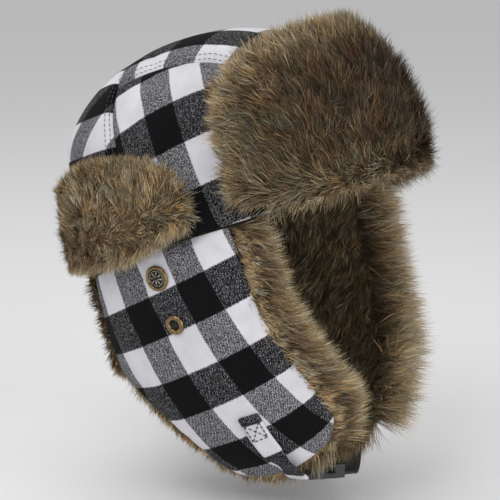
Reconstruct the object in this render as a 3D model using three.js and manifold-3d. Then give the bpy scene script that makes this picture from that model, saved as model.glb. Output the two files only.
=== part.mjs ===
// Trapper hat: padded crown, fur visor, fur rear cuff, fur-lined ear flaps and a chin buckle.
// Millimetres, +Z up. The origin is the centre of the head opening, the face looks along -Y
// and the wearer's right is -X. The hat sits pitched back on the head by PITCH.
import * as THREE from 'three';
import { mergeVertices } from 'three/addons/utils/BufferGeometryUtils.js';
import Module from 'manifold-3d';

const wasm = await Module();
wasm.setup();

// ---- driving dimensions -------------------------------------------------------------
const PITCH = THREE.MathUtils.degToRad(19);    // how far the headband leans back
const HALF_WIDTH = 93;                         // crown, side to side
const HALF_LENGTH = 118;                       // crown, front to back
const LENGTH_SHIFT = 6;                        // the crown's middle lies behind the origin
const CROWN_HEIGHT = 123;
const CROWN_PROFILE = 2.3;                     // superellipse power, seen from the side
const CROWN_OUTLINE = 2.12;                    // superellipse power, seen from above
const NAPE_TUCK = 0.07;                        // the headband pulls the back of the crown in
const CROWN_PUFF = 0.03;                       // and above it the crown puffs out again
const TUCK_LOW = 50;
const TUCK_HIGH = 84;

const CHIN_Y = -36;                            // the flaps close in on this point
const FALL_START = 8;                          // the flaps hang straight down to here
const FALL_DEPTH = 170;                        // and would close in this far below that
const FALL_PROFILE = 1.9;
const FALL_OUTLINE = 2.5;

const SHELL = 2.2;                             // flannel with its interlining
const WADDING = 3.4;
const LINING = 1.2;
const PILE = 10;                               // pressed fur on the inside of a flap
const GAP = 0.3;                               // between pieces that are sewn face to face
const EASE = 2.4;                              // the padding hangs a little clear of the panels
const SEAM_GAP = 0.4;                          // between panels, edge to edge

const STRIP_HALF = 52;                         // crown strip, half its width at the top
const STRIP_END = 106;                         // degrees over the crown, from the front
const SEAM_FOOT = 98;                          // side and back panels meet here, at the headband

const VISOR_END = 57;                          // degrees round from the front
const VISOR_HEIGHT = 86;
const VISOR_PILE = 19;
const CUFF_END = 77;
const CUFF_HEIGHT = 57;
const CUFF_PILE = 9;

const CAP_RADIUS = 8.3;
const EYELET_RADIUS = 6.6;
const EYELET_BORE = 3.2;

const BUCKLE_WIDTH = 26;
const BUCKLE_THICK = 9;
const SOCKET_LENGTH = 27;
const PLUG_BASE = 9;
const PRONG_LENGTH = 17;
const TRAVEL = 20;                             // the plug draws out along the webbing
const WEBBING_WIDTH = 19;
const WEBBING_THICK = 1.4;
const TAB_WIDTH = 14;
const TAB_THICK = 2.4;

const { degToRad, smoothstep } = THREE.MathUtils;
const V = (x, y, z) => new THREE.Vector3(x, y, z);

// ---- materials ----------------------------------------------------------------------
const FLANNEL = { color: 0x6d6d74, roughness: 0.95, metalness: 0 };
const FUR = { color: 0x7b6748, roughness: 1, metalness: 0 };
const WHITE_FELT = { color: 0xd8d6d0, roughness: 1, metalness: 0 };
const BLACK_SATIN = { color: 0x17171a, roughness: 0.55, metalness: 0 };
const BRASS = { color: 0x8a6a3a, roughness: 0.35, metalness: 1 };
const BLACK_PLASTIC = { color: 0x202124, roughness: 0.42, metalness: 0 };
const BLACK_WEBBING = { color: 0x141416, roughness: 0.85, metalness: 0 };

function piece(name, geometry, finish) {
  const mesh = new THREE.Mesh(geometry, new THREE.MeshStandardMaterial(finish));
  mesh.name = name;
  return mesh;
}

// ---- the two surfaces that the fabric follows ---------------------------------------
// Each has an inside function, below 1 inside the hat, and a centre to look out from.
function outline(x, y, tuck) {
  const length = y > LENGTH_SHIFT ? HALF_LENGTH * (1 - tuck) : HALF_LENGTH;
  return Math.abs(x / HALF_WIDTH) ** CROWN_OUTLINE
    + Math.abs((y - LENGTH_SHIFT) / length) ** CROWN_OUTLINE;
}

const crownSkin = {                            // in the hat's own frame, headband at z = 0
  centre: V(0, LENGTH_SHIFT, 0),
  inside(p) {
    const puff = smoothstep(p.z, TUCK_LOW, TUCK_HIGH);
    const tuck = NAPE_TUCK - (NAPE_TUCK + CROWN_PUFF) * puff;
    return outline(p.x, p.y, tuck) ** (CROWN_PROFILE / CROWN_OUTLINE)
      + Math.abs(p.z / CROWN_HEIGHT) ** CROWN_PROFILE;
  },
};

function closing(z) {                          // how far the flaps have closed in, 1 to 0
  const q = THREE.MathUtils.clamp((-z - FALL_START) / FALL_DEPTH, 0, 0.9999);
  return (1 - q ** FALL_PROFILE) ** (1 / FALL_OUTLINE);
}

const flapSkin = {                             // upright, the flaps hang down from the crown
  centre: V(0, 0, -45),
  inside(p) {
    const s = closing(p.z);
    const y = CHIN_Y + (p.y - CHIN_Y) / s;
    return outline(p.x / s, y / Math.cos(PITCH), NAPE_TUCK);
  },
};

function onSkin(skin, aim) {                   // the skin's point on the ray through aim
  const ray = aim.clone().sub(skin.centre).normalize();
  let near = 0;
  let far = 260;
  for (let i = 0; i < 40; i += 1) {
    const middle = (near + far) / 2;
    const p = skin.centre.clone().addScaledVector(ray, middle);
    if (skin.inside(p) < 1) near = middle;
    else far = middle;
  }
  return skin.centre.clone().addScaledVector(ray, (near + far) / 2);
}

function skinNormal(skin, p) {
  const e = 0.05;
  const slope = (dx, dy, dz) => skin.inside(V(p.x + dx, p.y + dy, p.z + dz))
    - skin.inside(V(p.x - dx, p.y - dy, p.z - dz));
  return V(slope(e, 0, 0), slope(0, e, 0), slope(0, 0, e)).normalize();
}

const toUpright = (p) => p.clone().applyAxisAngle(V(1, 0, 0), -PITCH);
const headband = (degrees, z = 0) => {         // a point of the crown, in the hat's frame
  const a = degToRad(degrees);
  return onSkin(crownSkin, V(Math.sin(a) * 100, LENGTH_SHIFT - Math.cos(a) * 100, z));
};

// ---- closed solids ------------------------------------------------------------------
const line = (a, b) => (t) => a.clone().lerp(b, t);
const spline = (...points) => {
  const curve = new THREE.CatmullRomCurve3(points, false, 'centripetal');
  return (t) => curve.getPointAt(t);
};

// A panel of the skin between four edges, from the inner to the outer offset. Each edge is
// a function of 0 to 1: low and high run from start to end, start and end from low to high.
function panel(skin, { low, high, start, end }, inner, outer, across = 12, up = 8) {
  const corner = (s, t) => (t ? high(s) : low(s));
  const at = (s, t) => {
    const aim = low(s).multiplyScalar(1 - t).addScaledVector(high(s), t)
      .addScaledVector(start(t), 1 - s).addScaledVector(end(t), s);
    for (const [i, j] of [[0, 0], [0, 1], [1, 0], [1, 1]]) {
      aim.addScaledVector(corner(i, j), -(i ? s : 1 - s) * (j ? t : 1 - t));
    }
    return onSkin(skin, aim);
  };
  const faces = [[], []];
  for (let j = 0; j <= up; j += 1) {
    for (let i = 0; i <= across; i += 1) {
      const p = at(i / across, j / up);
      const n = skinNormal(skin, p);
      const reach = (offset) => (typeof offset === 'function' ? offset(p) : offset);
      faces[0].push(p.clone().addScaledVector(n, reach(outer)));
      faces[1].push(p.clone().addScaledVector(n, reach(inner)));
    }
  }
  return closedSheet(faces, across, up);
}

function closedSheet([front, back], across, up) {
  const row = across + 1;
  const index = [];
  const quad = (a, b, c, d) => index.push(a, b, c, a, c, d);
  const behind = front.length;
  for (let j = 0; j < up; j += 1) {
    for (let i = 0; i < across; i += 1) {
      const a = j * row + i;
      quad(a, a + 1, a + row + 1, a + row);
      quad(behind + a, behind + a + row, behind + a + row + 1, behind + a + 1);
    }
  }
  for (let i = 0; i < across; i += 1) {
    const top = up * row + i;
    quad(i + 1, i, behind + i, behind + i + 1);
    quad(top, top + 1, behind + top + 1, behind + top);
  }
  for (let j = 0; j < up; j += 1) {
    const a = j * row;
    const b = a + across;
    quad(a, a + row, behind + a + row, behind + a);
    quad(b + row, b, behind + b, behind + b + row);
  }
  const geometry = new THREE.BufferGeometry();
  const xyz = [...front, ...back].flatMap((p) => [p.x, p.y, p.z]);
  geometry.setAttribute('position', new THREE.Float32BufferAttribute(xyz, 3));
  geometry.setIndex(index);
  return facingOut(geometry);
}

function volume(geometry) {
  const p = geometry.attributes.position;
  const index = geometry.index.array;
  const [a, b, c] = [V(), V(), V()];
  let sum = 0;
  for (let i = 0; i < index.length; i += 3) {
    a.fromBufferAttribute(p, index[i]);
    b.fromBufferAttribute(p, index[i + 1]);
    c.fromBufferAttribute(p, index[i + 2]);
    sum += a.dot(b.cross(c)) / 6;
  }
  return sum;
}

function facingOut(geometry) {
  if (volume(geometry) < 0) {
    const index = geometry.index.array;
    for (let i = 0; i < index.length; i += 3) [index[i], index[i + 1]] = [index[i + 1], index[i]];
  }
  return geometry;
}

// A dome or a ring inside the crown: rows of points from one height up to another.
function crownRing(inner, outer, bottom, top, around, rows, closedTop) {
  const grid = (offset) => {
    const points = [];
    for (let j = 0; j <= rows; j += 1) {
      const lift = bottom + (top - bottom) * (j / rows);
      for (let i = 0; i < around; i += 1) {
        const a = (2 * Math.PI * i) / around;
        const c = Math.cos(degToRad(lift));
        const aim = V(Math.sin(a) * c, -Math.cos(a) * c, Math.sin(degToRad(lift)));
        const p = onSkin(crownSkin, aim.add(crownSkin.centre));
        points.push(p.clone().addScaledVector(skinNormal(crownSkin, p), offset));
      }
    }
    return points;
  };
  const outside = grid(outer);
  const within = grid(inner);
  const index = [];
  const quad = (a, b, c, d) => index.push(a, b, c, a, c, d);
  const behind = outside.length;
  for (let i = 0; i < around; i += 1) {
    const k = (i + 1) % around;
    for (let j = 0; j < rows; j += 1) {
      const a = j * around;
      quad(a + i, a + k, a + around + k, a + around + i);
      quad(behind + a + i, behind + a + around + i, behind + a + around + k, behind + a + k);
    }
    quad(k, i, behind + i, behind + k);
    if (!closedTop) {
      const a = rows * around;
      quad(a + i, a + k, behind + a + k, behind + a + i);
    }
  }
  const points = [...outside, ...within];
  if (closedTop) {
    const apex = onSkin(crownSkin, crownSkin.centre.clone().add(V(0, 0, 1)));
    points.push(V(apex.x, apex.y, apex.z + outer), V(apex.x, apex.y, apex.z + inner));
    const ring = rows * around;
    for (let i = 0; i < around; i += 1) {
      const k = (i + 1) % around;
      index.push(ring + i, ring + k, points.length - 2);
      index.push(behind + ring + k, behind + ring + i, points.length - 1);
    }
  }
  const geometry = new THREE.BufferGeometry();
  const xyz = points.flatMap((p) => [p.x, p.y, p.z]);
  geometry.setAttribute('position', new THREE.Float32BufferAttribute(xyz, 3));
  geometry.setIndex(index);
  return facingOut(geometry);
}

// ---- joining and cutting ------------------------------------------------------------
function solid(geometry) {
  const bare = geometry.clone();
  bare.deleteAttribute('normal');
  bare.deleteAttribute('uv');
  const merged = mergeVertices(bare, 1e-4);
  const vertProperties = new Float32Array(merged.attributes.position.array);
  const triVerts = new Uint32Array(merged.index.array);
  return new wasm.Manifold(new wasm.Mesh({ numProp: 3, vertProperties, triVerts }));
}

function geometryOf(manifold) {
  const { vertProperties, triVerts } = manifold.getMesh();
  const geometry = new THREE.BufferGeometry();
  geometry.setAttribute('position', new THREE.BufferAttribute(vertProperties, 3));
  geometry.setIndex(new THREE.BufferAttribute(triVerts, 1));
  return geometry;
}

const cut = (geometry, ...tools) => geometryOf(
  tools.reduce((body, tool) => body.subtract(solid(tool)), solid(geometry)),
);
const join = (geometry, ...more) => geometryOf(
  more.reduce((body, other) => body.add(solid(other)), solid(geometry)),
);
const box = (x0, x1, y0, y1, z0, z1) => new THREE.BoxGeometry(x1 - x0, y1 - y0, z1 - z0)
  .translate((x0 + x1) / 2, (y0 + y1) / 2, (z0 + z1) / 2);
const pin = (radius, z0, z1) => new THREE.CylinderGeometry(radius, radius, z1 - z0, 14)
  .rotateX(Math.PI / 2).translate(0, 0, (z0 + z1) / 2);

// ---- crown --------------------------------------------------------------------------
function stripWidth(over) {                    // the strip widens a little over the top
  return STRIP_HALF * (0.78 + 0.22 * Math.sin(degToRad(over)));
}

function stripEdge(over, side) {               // over: degrees from the front, over the top
  const x = side * stripWidth(over);
  const aim = V(0, -Math.cos(degToRad(over)), Math.sin(degToRad(over)));
  let reach = 90;
  for (let i = 0; i < 12; i += 1) {
    const p = onSkin(crownSkin, V(x, LENGTH_SHIFT + aim.y * reach, aim.z * reach));
    reach *= Math.abs(x / p.x) > 0 ? p.x / x : 1;
    reach = Math.hypot(p.y - LENGTH_SHIFT, p.z);
  }
  return onSkin(crownSkin, V(x, LENGTH_SHIFT + aim.y * reach, aim.z * reach));
}

function crownPanels() {
  const shift = (side) => side * SEAM_GAP / 2;
  const seam = (side, from, to) => (t) => {
    const p = stripEdge(from + (to - from) * t, side);
    return V(p.x, p.y, p.z);
  };
  const nudged = (edge, dx, dy = 0) => (t) => edge(t).add(V(dx, dy, 0));
  const strip = panel(crownSkin, {
    low: line(stripEdge(1, -1), stripEdge(1, 1)),
    high: line(stripEdge(STRIP_END, -1), stripEdge(STRIP_END, 1)),
    start: nudged(seam(-1, 1, STRIP_END), shift(1)),
    end: nudged(seam(1, 1, STRIP_END), shift(-1)),
  }, -SHELL, 0, 6, 14);

  const side = (s) => {
    const frontTop = 34;
    const foot = headband(s * SEAM_FOOT);
    return panel(crownSkin, {
      low: (t) => headband(s * (31 + (SEAM_FOOT - 31) * t)),
      high: nudged(seam(s, frontTop, STRIP_END), shift(s)),
      start: nudged(seam(s, 1, frontTop), shift(s)),
      end: line(foot, stripEdge(STRIP_END, s)),
    }, -SHELL, 0, 12, 7);
  };

  const back = panel(crownSkin, {
    low: (t) => headband(SEAM_FOOT + 0.6 + (358.8 - 2 * SEAM_FOOT) * t),
    high: (t) => stripEdge(STRIP_END, 1).lerp(stripEdge(STRIP_END, -1), t).add(V(0, 0.6, 0)),
    start: (t) => headband(SEAM_FOOT + 0.6).lerp(stripEdge(STRIP_END, 1).add(V(0, 0.6, 0)), t),
    end: (t) => headband(-SEAM_FOOT - 0.6).lerp(stripEdge(STRIP_END, -1).add(V(0, 0.6, 0)), t),
  }, -SHELL, 0, 14, 8);

  return [
    piece('crown_top_strip', strip, FLANNEL),
    piece('crown_side_right', side(-1), FLANNEL),
    piece('crown_side_left', side(1), FLANNEL),
    piece('crown_back_panel', back, FLANNEL),
  ];
}

function crownInside() {
  const wadding = SHELL + EASE;
  const lining = wadding + WADDING + GAP;
  const band = lining + LINING + EASE;
  return [
    piece('crown_wadding', crownRing(-wadding - WADDING, -wadding, 0.5, 74, 24, 6, true), WHITE_FELT),
    piece('crown_lining', crownRing(-lining - LINING, -lining, 0.5, 74, 24, 6, true), BLACK_SATIN),
    piece('sweatband', crownRing(-band - LINING, -band, 0.5, 12.75, 24, 1, false), BLACK_SATIN),
  ];
}

// ---- visor and rear cuff ------------------------------------------------------------
// Both are curved pads that stand outside the crown, with rounded free corners. Their
// outline is half a superellipse: full height in the middle, falling away at the ends.
function pad(endAngle, height, middle, inner, outer, across, up) {
  const place = (s, t) => {
    const swing = -endAngle + 2 * endAngle * s;
    const fall = (1 - Math.abs(swing / endAngle) ** 4) ** (1 / 4);
    const z = 2.5 + (height - 2.5) * Math.max(fall, 0.42) * t;
    const a = degToRad(swing);
    const flat = V(middle * Math.sin(a) * 100, LENGTH_SHIFT - middle * Math.cos(a) * 100, 0);
    const base = onSkin(crownSkin, flat);
    const lean = (1 - Math.min(z / CROWN_HEIGHT, 1) ** CROWN_PROFILE) ** (1 / CROWN_PROFILE);
    const rim = V(base.x * lean, LENGTH_SHIFT + (base.y - LENGTH_SHIFT) * lean, z);
    return rim;
  };
  return panel(crownSkin, {
    low: (s) => place(s, 0),
    high: (s) => place(s, 1),
    start: (t) => place(0, t),
    end: (t) => place(1, t),
  }, inner, outer, across, up);
}

function visor() {
  const lift = (base) => (p) => base + 8 * (p.z / VISOR_HEIGHT);
  const layer = (end, height, from, to) => pad(end, height, 1, lift(from), lift(to), 16, 5);
  return [
    piece('visor_backing', layer(VISOR_END, VISOR_HEIGHT, 1.5, 3), FLANNEL),
    piece('visor_stiffener', layer(VISOR_END, VISOR_HEIGHT, 3 + GAP, 4.2), WHITE_FELT),
    piece('visor_fur', layer(VISOR_END, VISOR_HEIGHT, 4.2 + GAP, 4.5 + VISOR_PILE), FUR),
  ];
}

function rearCuff() {
  const end = 180 - CUFF_END;
  const layer = (reach, height, from, to) => pad(reach, height, -1, from, to, 18, 3);
  const pile = (p) => 4 + CUFF_PILE * (1 - 0.6 * (p.z / CUFF_HEIGHT));
  return [
    piece('cuff_backing', layer(end, CUFF_HEIGHT, 1.2, 2.7), FLANNEL),
    piece('cuff_stiffener', layer(end, CUFF_HEIGHT, 2.7 + GAP, 3.7), WHITE_FELT),
    piece('cuff_fur', layer(end, CUFF_HEIGHT, 3.7 + GAP, pile), FUR),
  ];
}

// ---- neck curtain -------------------------------------------------------------------
const CURTAIN_EDGE = 141;                      // degrees round from the front
const SLIT_FOOT = V(-60, 66, -103);            // the slit between flap and curtain ends here

function belowBand(degrees, drop = 1) {        // just below the headband, upright
  const p = toUpright(headband(degrees));
  return V(p.x, p.y, p.z - drop);
}

function neckCurtain() {
  const edges = (inset) => {
    const top = (s) => belowBand(CURTAIN_EDGE + inset + (360 - 2 * (CURTAIN_EDGE + inset)) * s);
    const { x, y, z } = SLIT_FOOT;
    const bottom = spline(V(-x - 1 - inset, y + 1 + inset, z), V(32, 94, z + 3), V(0, 100, z + 5),
      V(-32, 94, z + 3), V(x + 1 + inset, y + 1 + inset, z));
    return {
      low: bottom,
      high: top,
      start: (t) => bottom(0).lerp(top(0), t),
      end: (t) => bottom(1).lerp(top(1), t),
    };
  };
  const pile = SHELL + GAP;
  return [
    piece('neck_curtain_shell', panel(flapSkin, edges(0), -SHELL, 0, 10, 5), FLANNEL),
    piece('neck_curtain_fur', panel(flapSkin, edges(0.4), -pile - PILE, -pile, 10, 5), FUR),
  ];
}

// ---- ear flap, for the wearer's right; the left one is its mirror -------------------
const FLAP_FRONT = -65;                        // degrees round, at the headband
const FLAP_REAR = -139.5;

function flapEdges(inset) {
  const frontTop = belowBand(FLAP_FRONT - inset * 0.6);
  const rearTop = belowBand(FLAP_REAR + inset * 0.6);
  const i = inset;
  const rearFoot = V(SLIT_FOOT.x - 0.4 * i, SLIT_FOOT.y - 0.7 * i, SLIT_FOOT.z + i);
  const tip = V(-41, -16, -166 + i);
  const frontFoot = V(-30, -79 + i, -136 + i);
  return {
    low: spline(rearFoot, V(-66, 27 - i * 0.5, -126 + i), V(-59, 3, -148 + i), tip,
      V(-40, -44, -161 + i), V(-37, -64, -150 + i), frontFoot),
    high: (s) => belowBand(FLAP_REAR + (FLAP_FRONT - FLAP_REAR) * s
      + inset * 0.6 * (1 - 2 * s)),
    start: line(rearFoot, rearTop),
    end: spline(frontFoot, V(-35, -82 + i, -118), V(-56, -74 + i, -91), V(-69, -64 + i, -70),
      V(-81, -50 + i, -40), V(-86, -41 + i, -9), frontTop),
  };
}

function skinFrame(p, lift = 0) {              // a group that lies on the flap, z outward
  const q = onSkin(flapSkin, p);
  const n = skinNormal(flapSkin, q);
  const group = new THREE.Group();
  group.position.copy(q).addScaledVector(n, lift);
  const across = V(0, 0, 1).cross(n).normalize();
  group.setRotationFromMatrix(new THREE.Matrix4().makeBasis(across, n.clone().cross(across), n));
  group.updateMatrixWorld(true);
  return group;
}

const CAP_AT = V(-92, 14, -25);
const EYELET_AT = V(-90, 3, -54);

function flapLayers(side) {
  const holes = (z0, z1, capRadius, eyeletRadius) => [
    pin(capRadius, z0, z1).applyMatrix4(skinFrame(CAP_AT).matrixWorld),
    pin(eyeletRadius, z0, z1).applyMatrix4(skinFrame(EYELET_AT).matrixWorld),
  ];
  const shell = panel(flapSkin, flapEdges(0), -SHELL, 0, 11, 9);
  const wad = SHELL + 1.5 * GAP;
  const wadding = panel(flapSkin, flapEdges(3), -wad - WADDING, -wad, 11, 9);
  const pile = wad + WADDING + 2 * GAP;
  const fur = panel(flapSkin, flapEdges(0), -pile - PILE, -pile, 11, 9);
  return [
    piece(`flap_shell_${side}`, cut(shell, ...holes(-8, 4, 2.2, 4.2)), FLANNEL),
    piece(`flap_wadding_${side}`, cut(wadding, ...holes(-5, 2, 6, 6.4)), WHITE_FELT),
    piece(`flap_fur_${side}`, fur, FUR),
  ];
}

function lathe(outlinePoints, segments = 16) {
  const points = outlinePoints.map(([r, z]) => new THREE.Vector2(r, z));
  return facingOut(mergedLathe(new THREE.LatheGeometry(points, segments)));
}

function mergedLathe(geometry) {
  geometry.deleteAttribute('normal');
  geometry.deleteAttribute('uv');
  return geometryOf(solid(facingOut(mergeVertices(geometry.rotateX(Math.PI / 2), 1e-4))));
}

function pressStuds(side) {
  const R = CAP_RADIUS;
  const r = EYELET_RADIUS;
  const cap = lathe([[0, 2.1], [R - 1.4, 2.1], [R, 1.3],
    [R, 0.4], [1.9, 0.4], [1.9, -3], [0, -3]]);
  const capBack = lathe([[2.2, -2.6], [5.6, -2.6], [5.6, -3.8], [2.2, -3.8], [2.2, -2.6]]);
  const eyelet = lathe([[EYELET_BORE, 2.2], [r - 1.4, 2.2], [r, 1.2], [r, 0.4], [3.9, 0.4],
    [3.9, -3], [EYELET_BORE, -3], [EYELET_BORE, 2.2]]);
  const eyeletBack = lathe([[4.2, -2.6], [6, -2.6], [6, -3.8], [4.2, -3.8], [4.2, -2.6]]);
  const capGroup = skinFrame(CAP_AT);
  capGroup.add(piece(`press_stud_cap_${side}`, cap, BRASS));
  capGroup.add(piece(`press_stud_back_${side}`, capBack, BRASS));
  const eyeletGroup = skinFrame(EYELET_AT);
  eyeletGroup.add(piece(`eyelet_stud_${side}`, eyelet, BRASS));
  eyeletGroup.add(piece(`eyelet_back_${side}`, eyeletBack, BRASS));
  return [capGroup, eyeletGroup];
}

// ---- chin straps and buckle ---------------------------------------------------------
// The buckle's own frame: x along the strap towards the wearer's left, z outward (down).
const BUCKLE_AT = V(-17, -58, -163.5);
const BUCKLE_ALONG = V(0.965, -0.07, -0.252).normalize();
const BUCKLE_OUT = V(0.16, -0.1, -1);

function buckleOut() {                         // square to the strap, towards the outside
  const slant = BUCKLE_OUT.dot(BUCKLE_ALONG);
  return BUCKLE_OUT.clone().addScaledVector(BUCKLE_ALONG, -slant).normalize();
}

function buckleFrame() {
  const z = buckleOut();
  const y = z.clone().cross(BUCKLE_ALONG);
  const group = new THREE.Group();
  group.position.copy(BUCKLE_AT);
  group.setRotationFromMatrix(new THREE.Matrix4().makeBasis(BUCKLE_ALONG, y, z));
  group.updateMatrixWorld(true);
  return group;
}
const inBuckle = (x, y, z) => V(x, y, z).applyMatrix4(buckleFrame().matrixWorld);

function strapSolid(route, outward, width, thick, steps) {
  const curve = new THREE.CatmullRomCurve3(route, false, 'centripetal');
  const faces = [[], []];
  for (let i = 0; i <= steps; i += 1) {
    const p = curve.getPointAt(i / steps);
    const along = curve.getTangentAt(i / steps);
    const up = outward(p, i / steps);
    const wide = up.clone().cross(along).normalize();
    const lift = along.clone().cross(wide).normalize();
    for (const half of [-1, 1]) {
      const edge = p.clone().addScaledVector(wide, half * width / 2);
      faces[0].push(edge.clone().addScaledVector(lift, thick / 2));
      faces[1].push(edge.clone().addScaledVector(lift, -thick / 2));
    }
  }
  return closedSheet(faces, 1, steps);
}

const over = (p, lift) => {                    // a point above the outside of a flap
  const q = onSkin(flapSkin, p);
  return q.addScaledVector(skinNormal(flapSkin, q), lift);
};

function chinTab() {
  const route = [over(V(-70, -38, -112), 2), over(V(-63, -43, -127), 2),
    over(V(-53, -50, -142), 4), over(V(-44, -55, -152), 4.2), inBuckle(-19, 0, 3.6),
    inBuckle(-15.5, 0, 3), inBuckle(-11.5, 0, 0)];
  const outward = (p, t) => skinNormal(flapSkin, onSkin(flapSkin, p))
    .lerp(buckleOut(), smoothstep(t, 0.35, 0.65));
  return piece('chin_tab_right', strapSolid(route, outward, TAB_WIDTH, TAB_THICK, 14), FLANNEL);
}

function chinWebbing() {
  const start = SOCKET_LENGTH / 2 + 1;
  const straight = start + PLUG_BASE + TRAVEL;
  const route = [inBuckle(start, 0, 2.7), inBuckle(start + 12, 0, 2.7),
    inBuckle(straight, 0, 2.7), inBuckle(straight + 3, 0, 2.7), over(V(58, -48, -134), 4.5),
    over(V(66, -42, -121), 2.4), over(V(72, -38, -108), 1.5)];
  const outward = (p, t) => buckleOut()
    .lerp(skinNormal(flapSkin, onSkin(flapSkin, p)), smoothstep(t, 0.5, 0.75));
  return piece('chin_webbing_left', strapSolid(route, outward, WEBBING_WIDTH, WEBBING_THICK, 16),
    BLACK_WEBBING);
}

function buckleSocket() {
  const L = SOCKET_LENGTH / 2;
  const W = BUCKLE_WIDTH / 2;
  const T = BUCKLE_THICK / 2;
  const outlineShape = new THREE.Shape();
  outlineShape.moveTo(-L + 3, -W + 4);
  outlineShape.lineTo(-L + 7, -W + 1);
  outlineShape.lineTo(-4, -W + 1.4);
  outlineShape.quadraticCurveTo(2, -W + 3.4, 8, -W);
  outlineShape.lineTo(L, -W);
  outlineShape.lineTo(L, W);
  outlineShape.lineTo(8, W);
  outlineShape.quadraticCurveTo(2, W - 3.4, -4, W - 1.4);
  outlineShape.lineTo(-L + 7, W - 1);
  outlineShape.lineTo(-L + 3, W - 4);
  outlineShape.lineTo(-L - 5, W - 4);
  outlineShape.lineTo(-L - 5, -W + 4);
  const extrude = { depth: 2 * T, bevelEnabled: false, curveSegments: 5 };
  const body = new THREE.ExtrudeGeometry(outlineShape, extrude).translate(0, 0, -T);
  const cavity = box(L - PRONG_LENGTH - 2, L + 1, -10.4, 10.4, -3.4, 1.6);
  const windows = box(-4, 8, -W - 1, W + 1, -2.9, 1.1);
  const slot = box(-L - 1.5, -L + 5, -8, 8, -T - 1, T + 1);
  const overBar = box(-L - 6, -L - 1.4, -8, 8, 0.8, T + 1);
  const underBar = box(-L - 6, -L - 1.4, -8, 8, -T - 1, -1.8);
  const cuts = [cavity, windows, slot, overBar, underBar];
  return piece('buckle_socket', cut(body, ...cuts), BLACK_PLASTIC);
}

function bucklePlug() {
  const L = SOCKET_LENGTH / 2;
  const W = BUCKLE_WIDTH / 2;
  const T = BUCKLE_THICK / 2;
  const base = box(L + 0.4, L + 0.4 + PLUG_BASE, -W + 0.6, W - 0.6, -T, T);
  const tongue = box(L - PRONG_LENGTH + 2, L + 1, -2.2, 2.2, -2.8, 1);
  const tunnel = box(L - 1, L + PLUG_BASE + 2, -WEBBING_WIDTH / 2 - 0.6, WEBBING_WIDTH / 2 + 0.6,
    2.7 - 1.1, 2.7 + 1.1);
  return piece('buckle_plug', cut(join(base, tongue), tunnel), BLACK_PLASTIC);
}

function releaseArm(side, name) {
  const L = SOCKET_LENGTH / 2;
  const arm = new THREE.Shape();
  arm.moveTo(L - 0.2, 6.4);
  arm.lineTo(L - 0.2, 9.6);
  arm.lineTo(7.6, 9.4);
  arm.quadraticCurveTo(1, 11, -2.6, 9.4);
  arm.lineTo(-3, 6.6);
  arm.lineTo(3, 6.9);
  const extrude = { depth: 3.8, bevelEnabled: false, curveSegments: 5 };
  const geometry = new THREE.ExtrudeGeometry(arm, extrude).translate(0, 0, -2.8);
  const group = new THREE.Group();
  group.scale.y = side;
  group.add(piece(name, geometry, BLACK_PLASTIC));
  return group;
}

// ---- the whole hat ------------------------------------------------------------------
const hat = new THREE.Group();
const pitched = new THREE.Group();             // the hat's own frame, headband at z = 0
pitched.rotation.x = -PITCH;
pitched.add(...crownPanels(), ...crownInside(), ...visor(), ...rearCuff());
hat.add(pitched, ...neckCurtain());

for (const [side, mirror] of [['right', 1], ['left', -1]]) {
  const flap = new THREE.Group();
  flap.scale.x = mirror;
  flap.add(...flapLayers(side), ...pressStuds(side));
  hat.add(flap);
}

const buckle = buckleFrame();
buckle.add(buckleSocket(), bucklePlug());
buckle.add(releaseArm(1, 'release_arm_front'), releaseArm(-1, 'release_arm_rear'));
hat.add(buckle, chinTab(), chinWebbing());

export default hat;
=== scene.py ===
import math

import bpy
import bmesh
import numpy as np
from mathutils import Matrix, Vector
from mathutils.kdtree import KDTree


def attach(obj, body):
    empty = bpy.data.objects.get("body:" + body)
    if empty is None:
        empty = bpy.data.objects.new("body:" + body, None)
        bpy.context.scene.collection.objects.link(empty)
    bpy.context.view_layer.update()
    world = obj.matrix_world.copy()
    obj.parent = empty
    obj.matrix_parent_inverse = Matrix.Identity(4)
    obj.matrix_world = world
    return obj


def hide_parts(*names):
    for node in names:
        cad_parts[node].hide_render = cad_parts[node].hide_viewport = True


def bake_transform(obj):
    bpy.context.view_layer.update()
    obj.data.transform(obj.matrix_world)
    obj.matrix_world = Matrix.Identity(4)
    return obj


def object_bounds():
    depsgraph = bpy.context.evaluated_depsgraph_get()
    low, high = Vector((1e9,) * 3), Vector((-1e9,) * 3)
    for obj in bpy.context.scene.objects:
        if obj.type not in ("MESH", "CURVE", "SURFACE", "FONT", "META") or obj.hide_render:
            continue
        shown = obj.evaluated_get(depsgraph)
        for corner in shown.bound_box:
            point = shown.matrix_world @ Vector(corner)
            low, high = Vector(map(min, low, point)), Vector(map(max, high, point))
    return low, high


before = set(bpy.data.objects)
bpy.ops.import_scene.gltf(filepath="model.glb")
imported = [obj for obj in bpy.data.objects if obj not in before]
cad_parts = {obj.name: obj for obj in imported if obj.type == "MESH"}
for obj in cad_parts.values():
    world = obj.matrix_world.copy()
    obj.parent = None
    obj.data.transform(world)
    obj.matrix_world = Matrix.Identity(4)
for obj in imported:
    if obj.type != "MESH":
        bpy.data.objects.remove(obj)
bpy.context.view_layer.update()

# Trapper hat: buffalo-check flannel, faux fur, quilted lining, brass press studs and a chin
# buckle. Shapes are worked out in millimetres and turned to metres when a piece is made.
# The hat's own frame has the headband at z = 0; upright() turns it to the worn frame.

MM = 0.001
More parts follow.
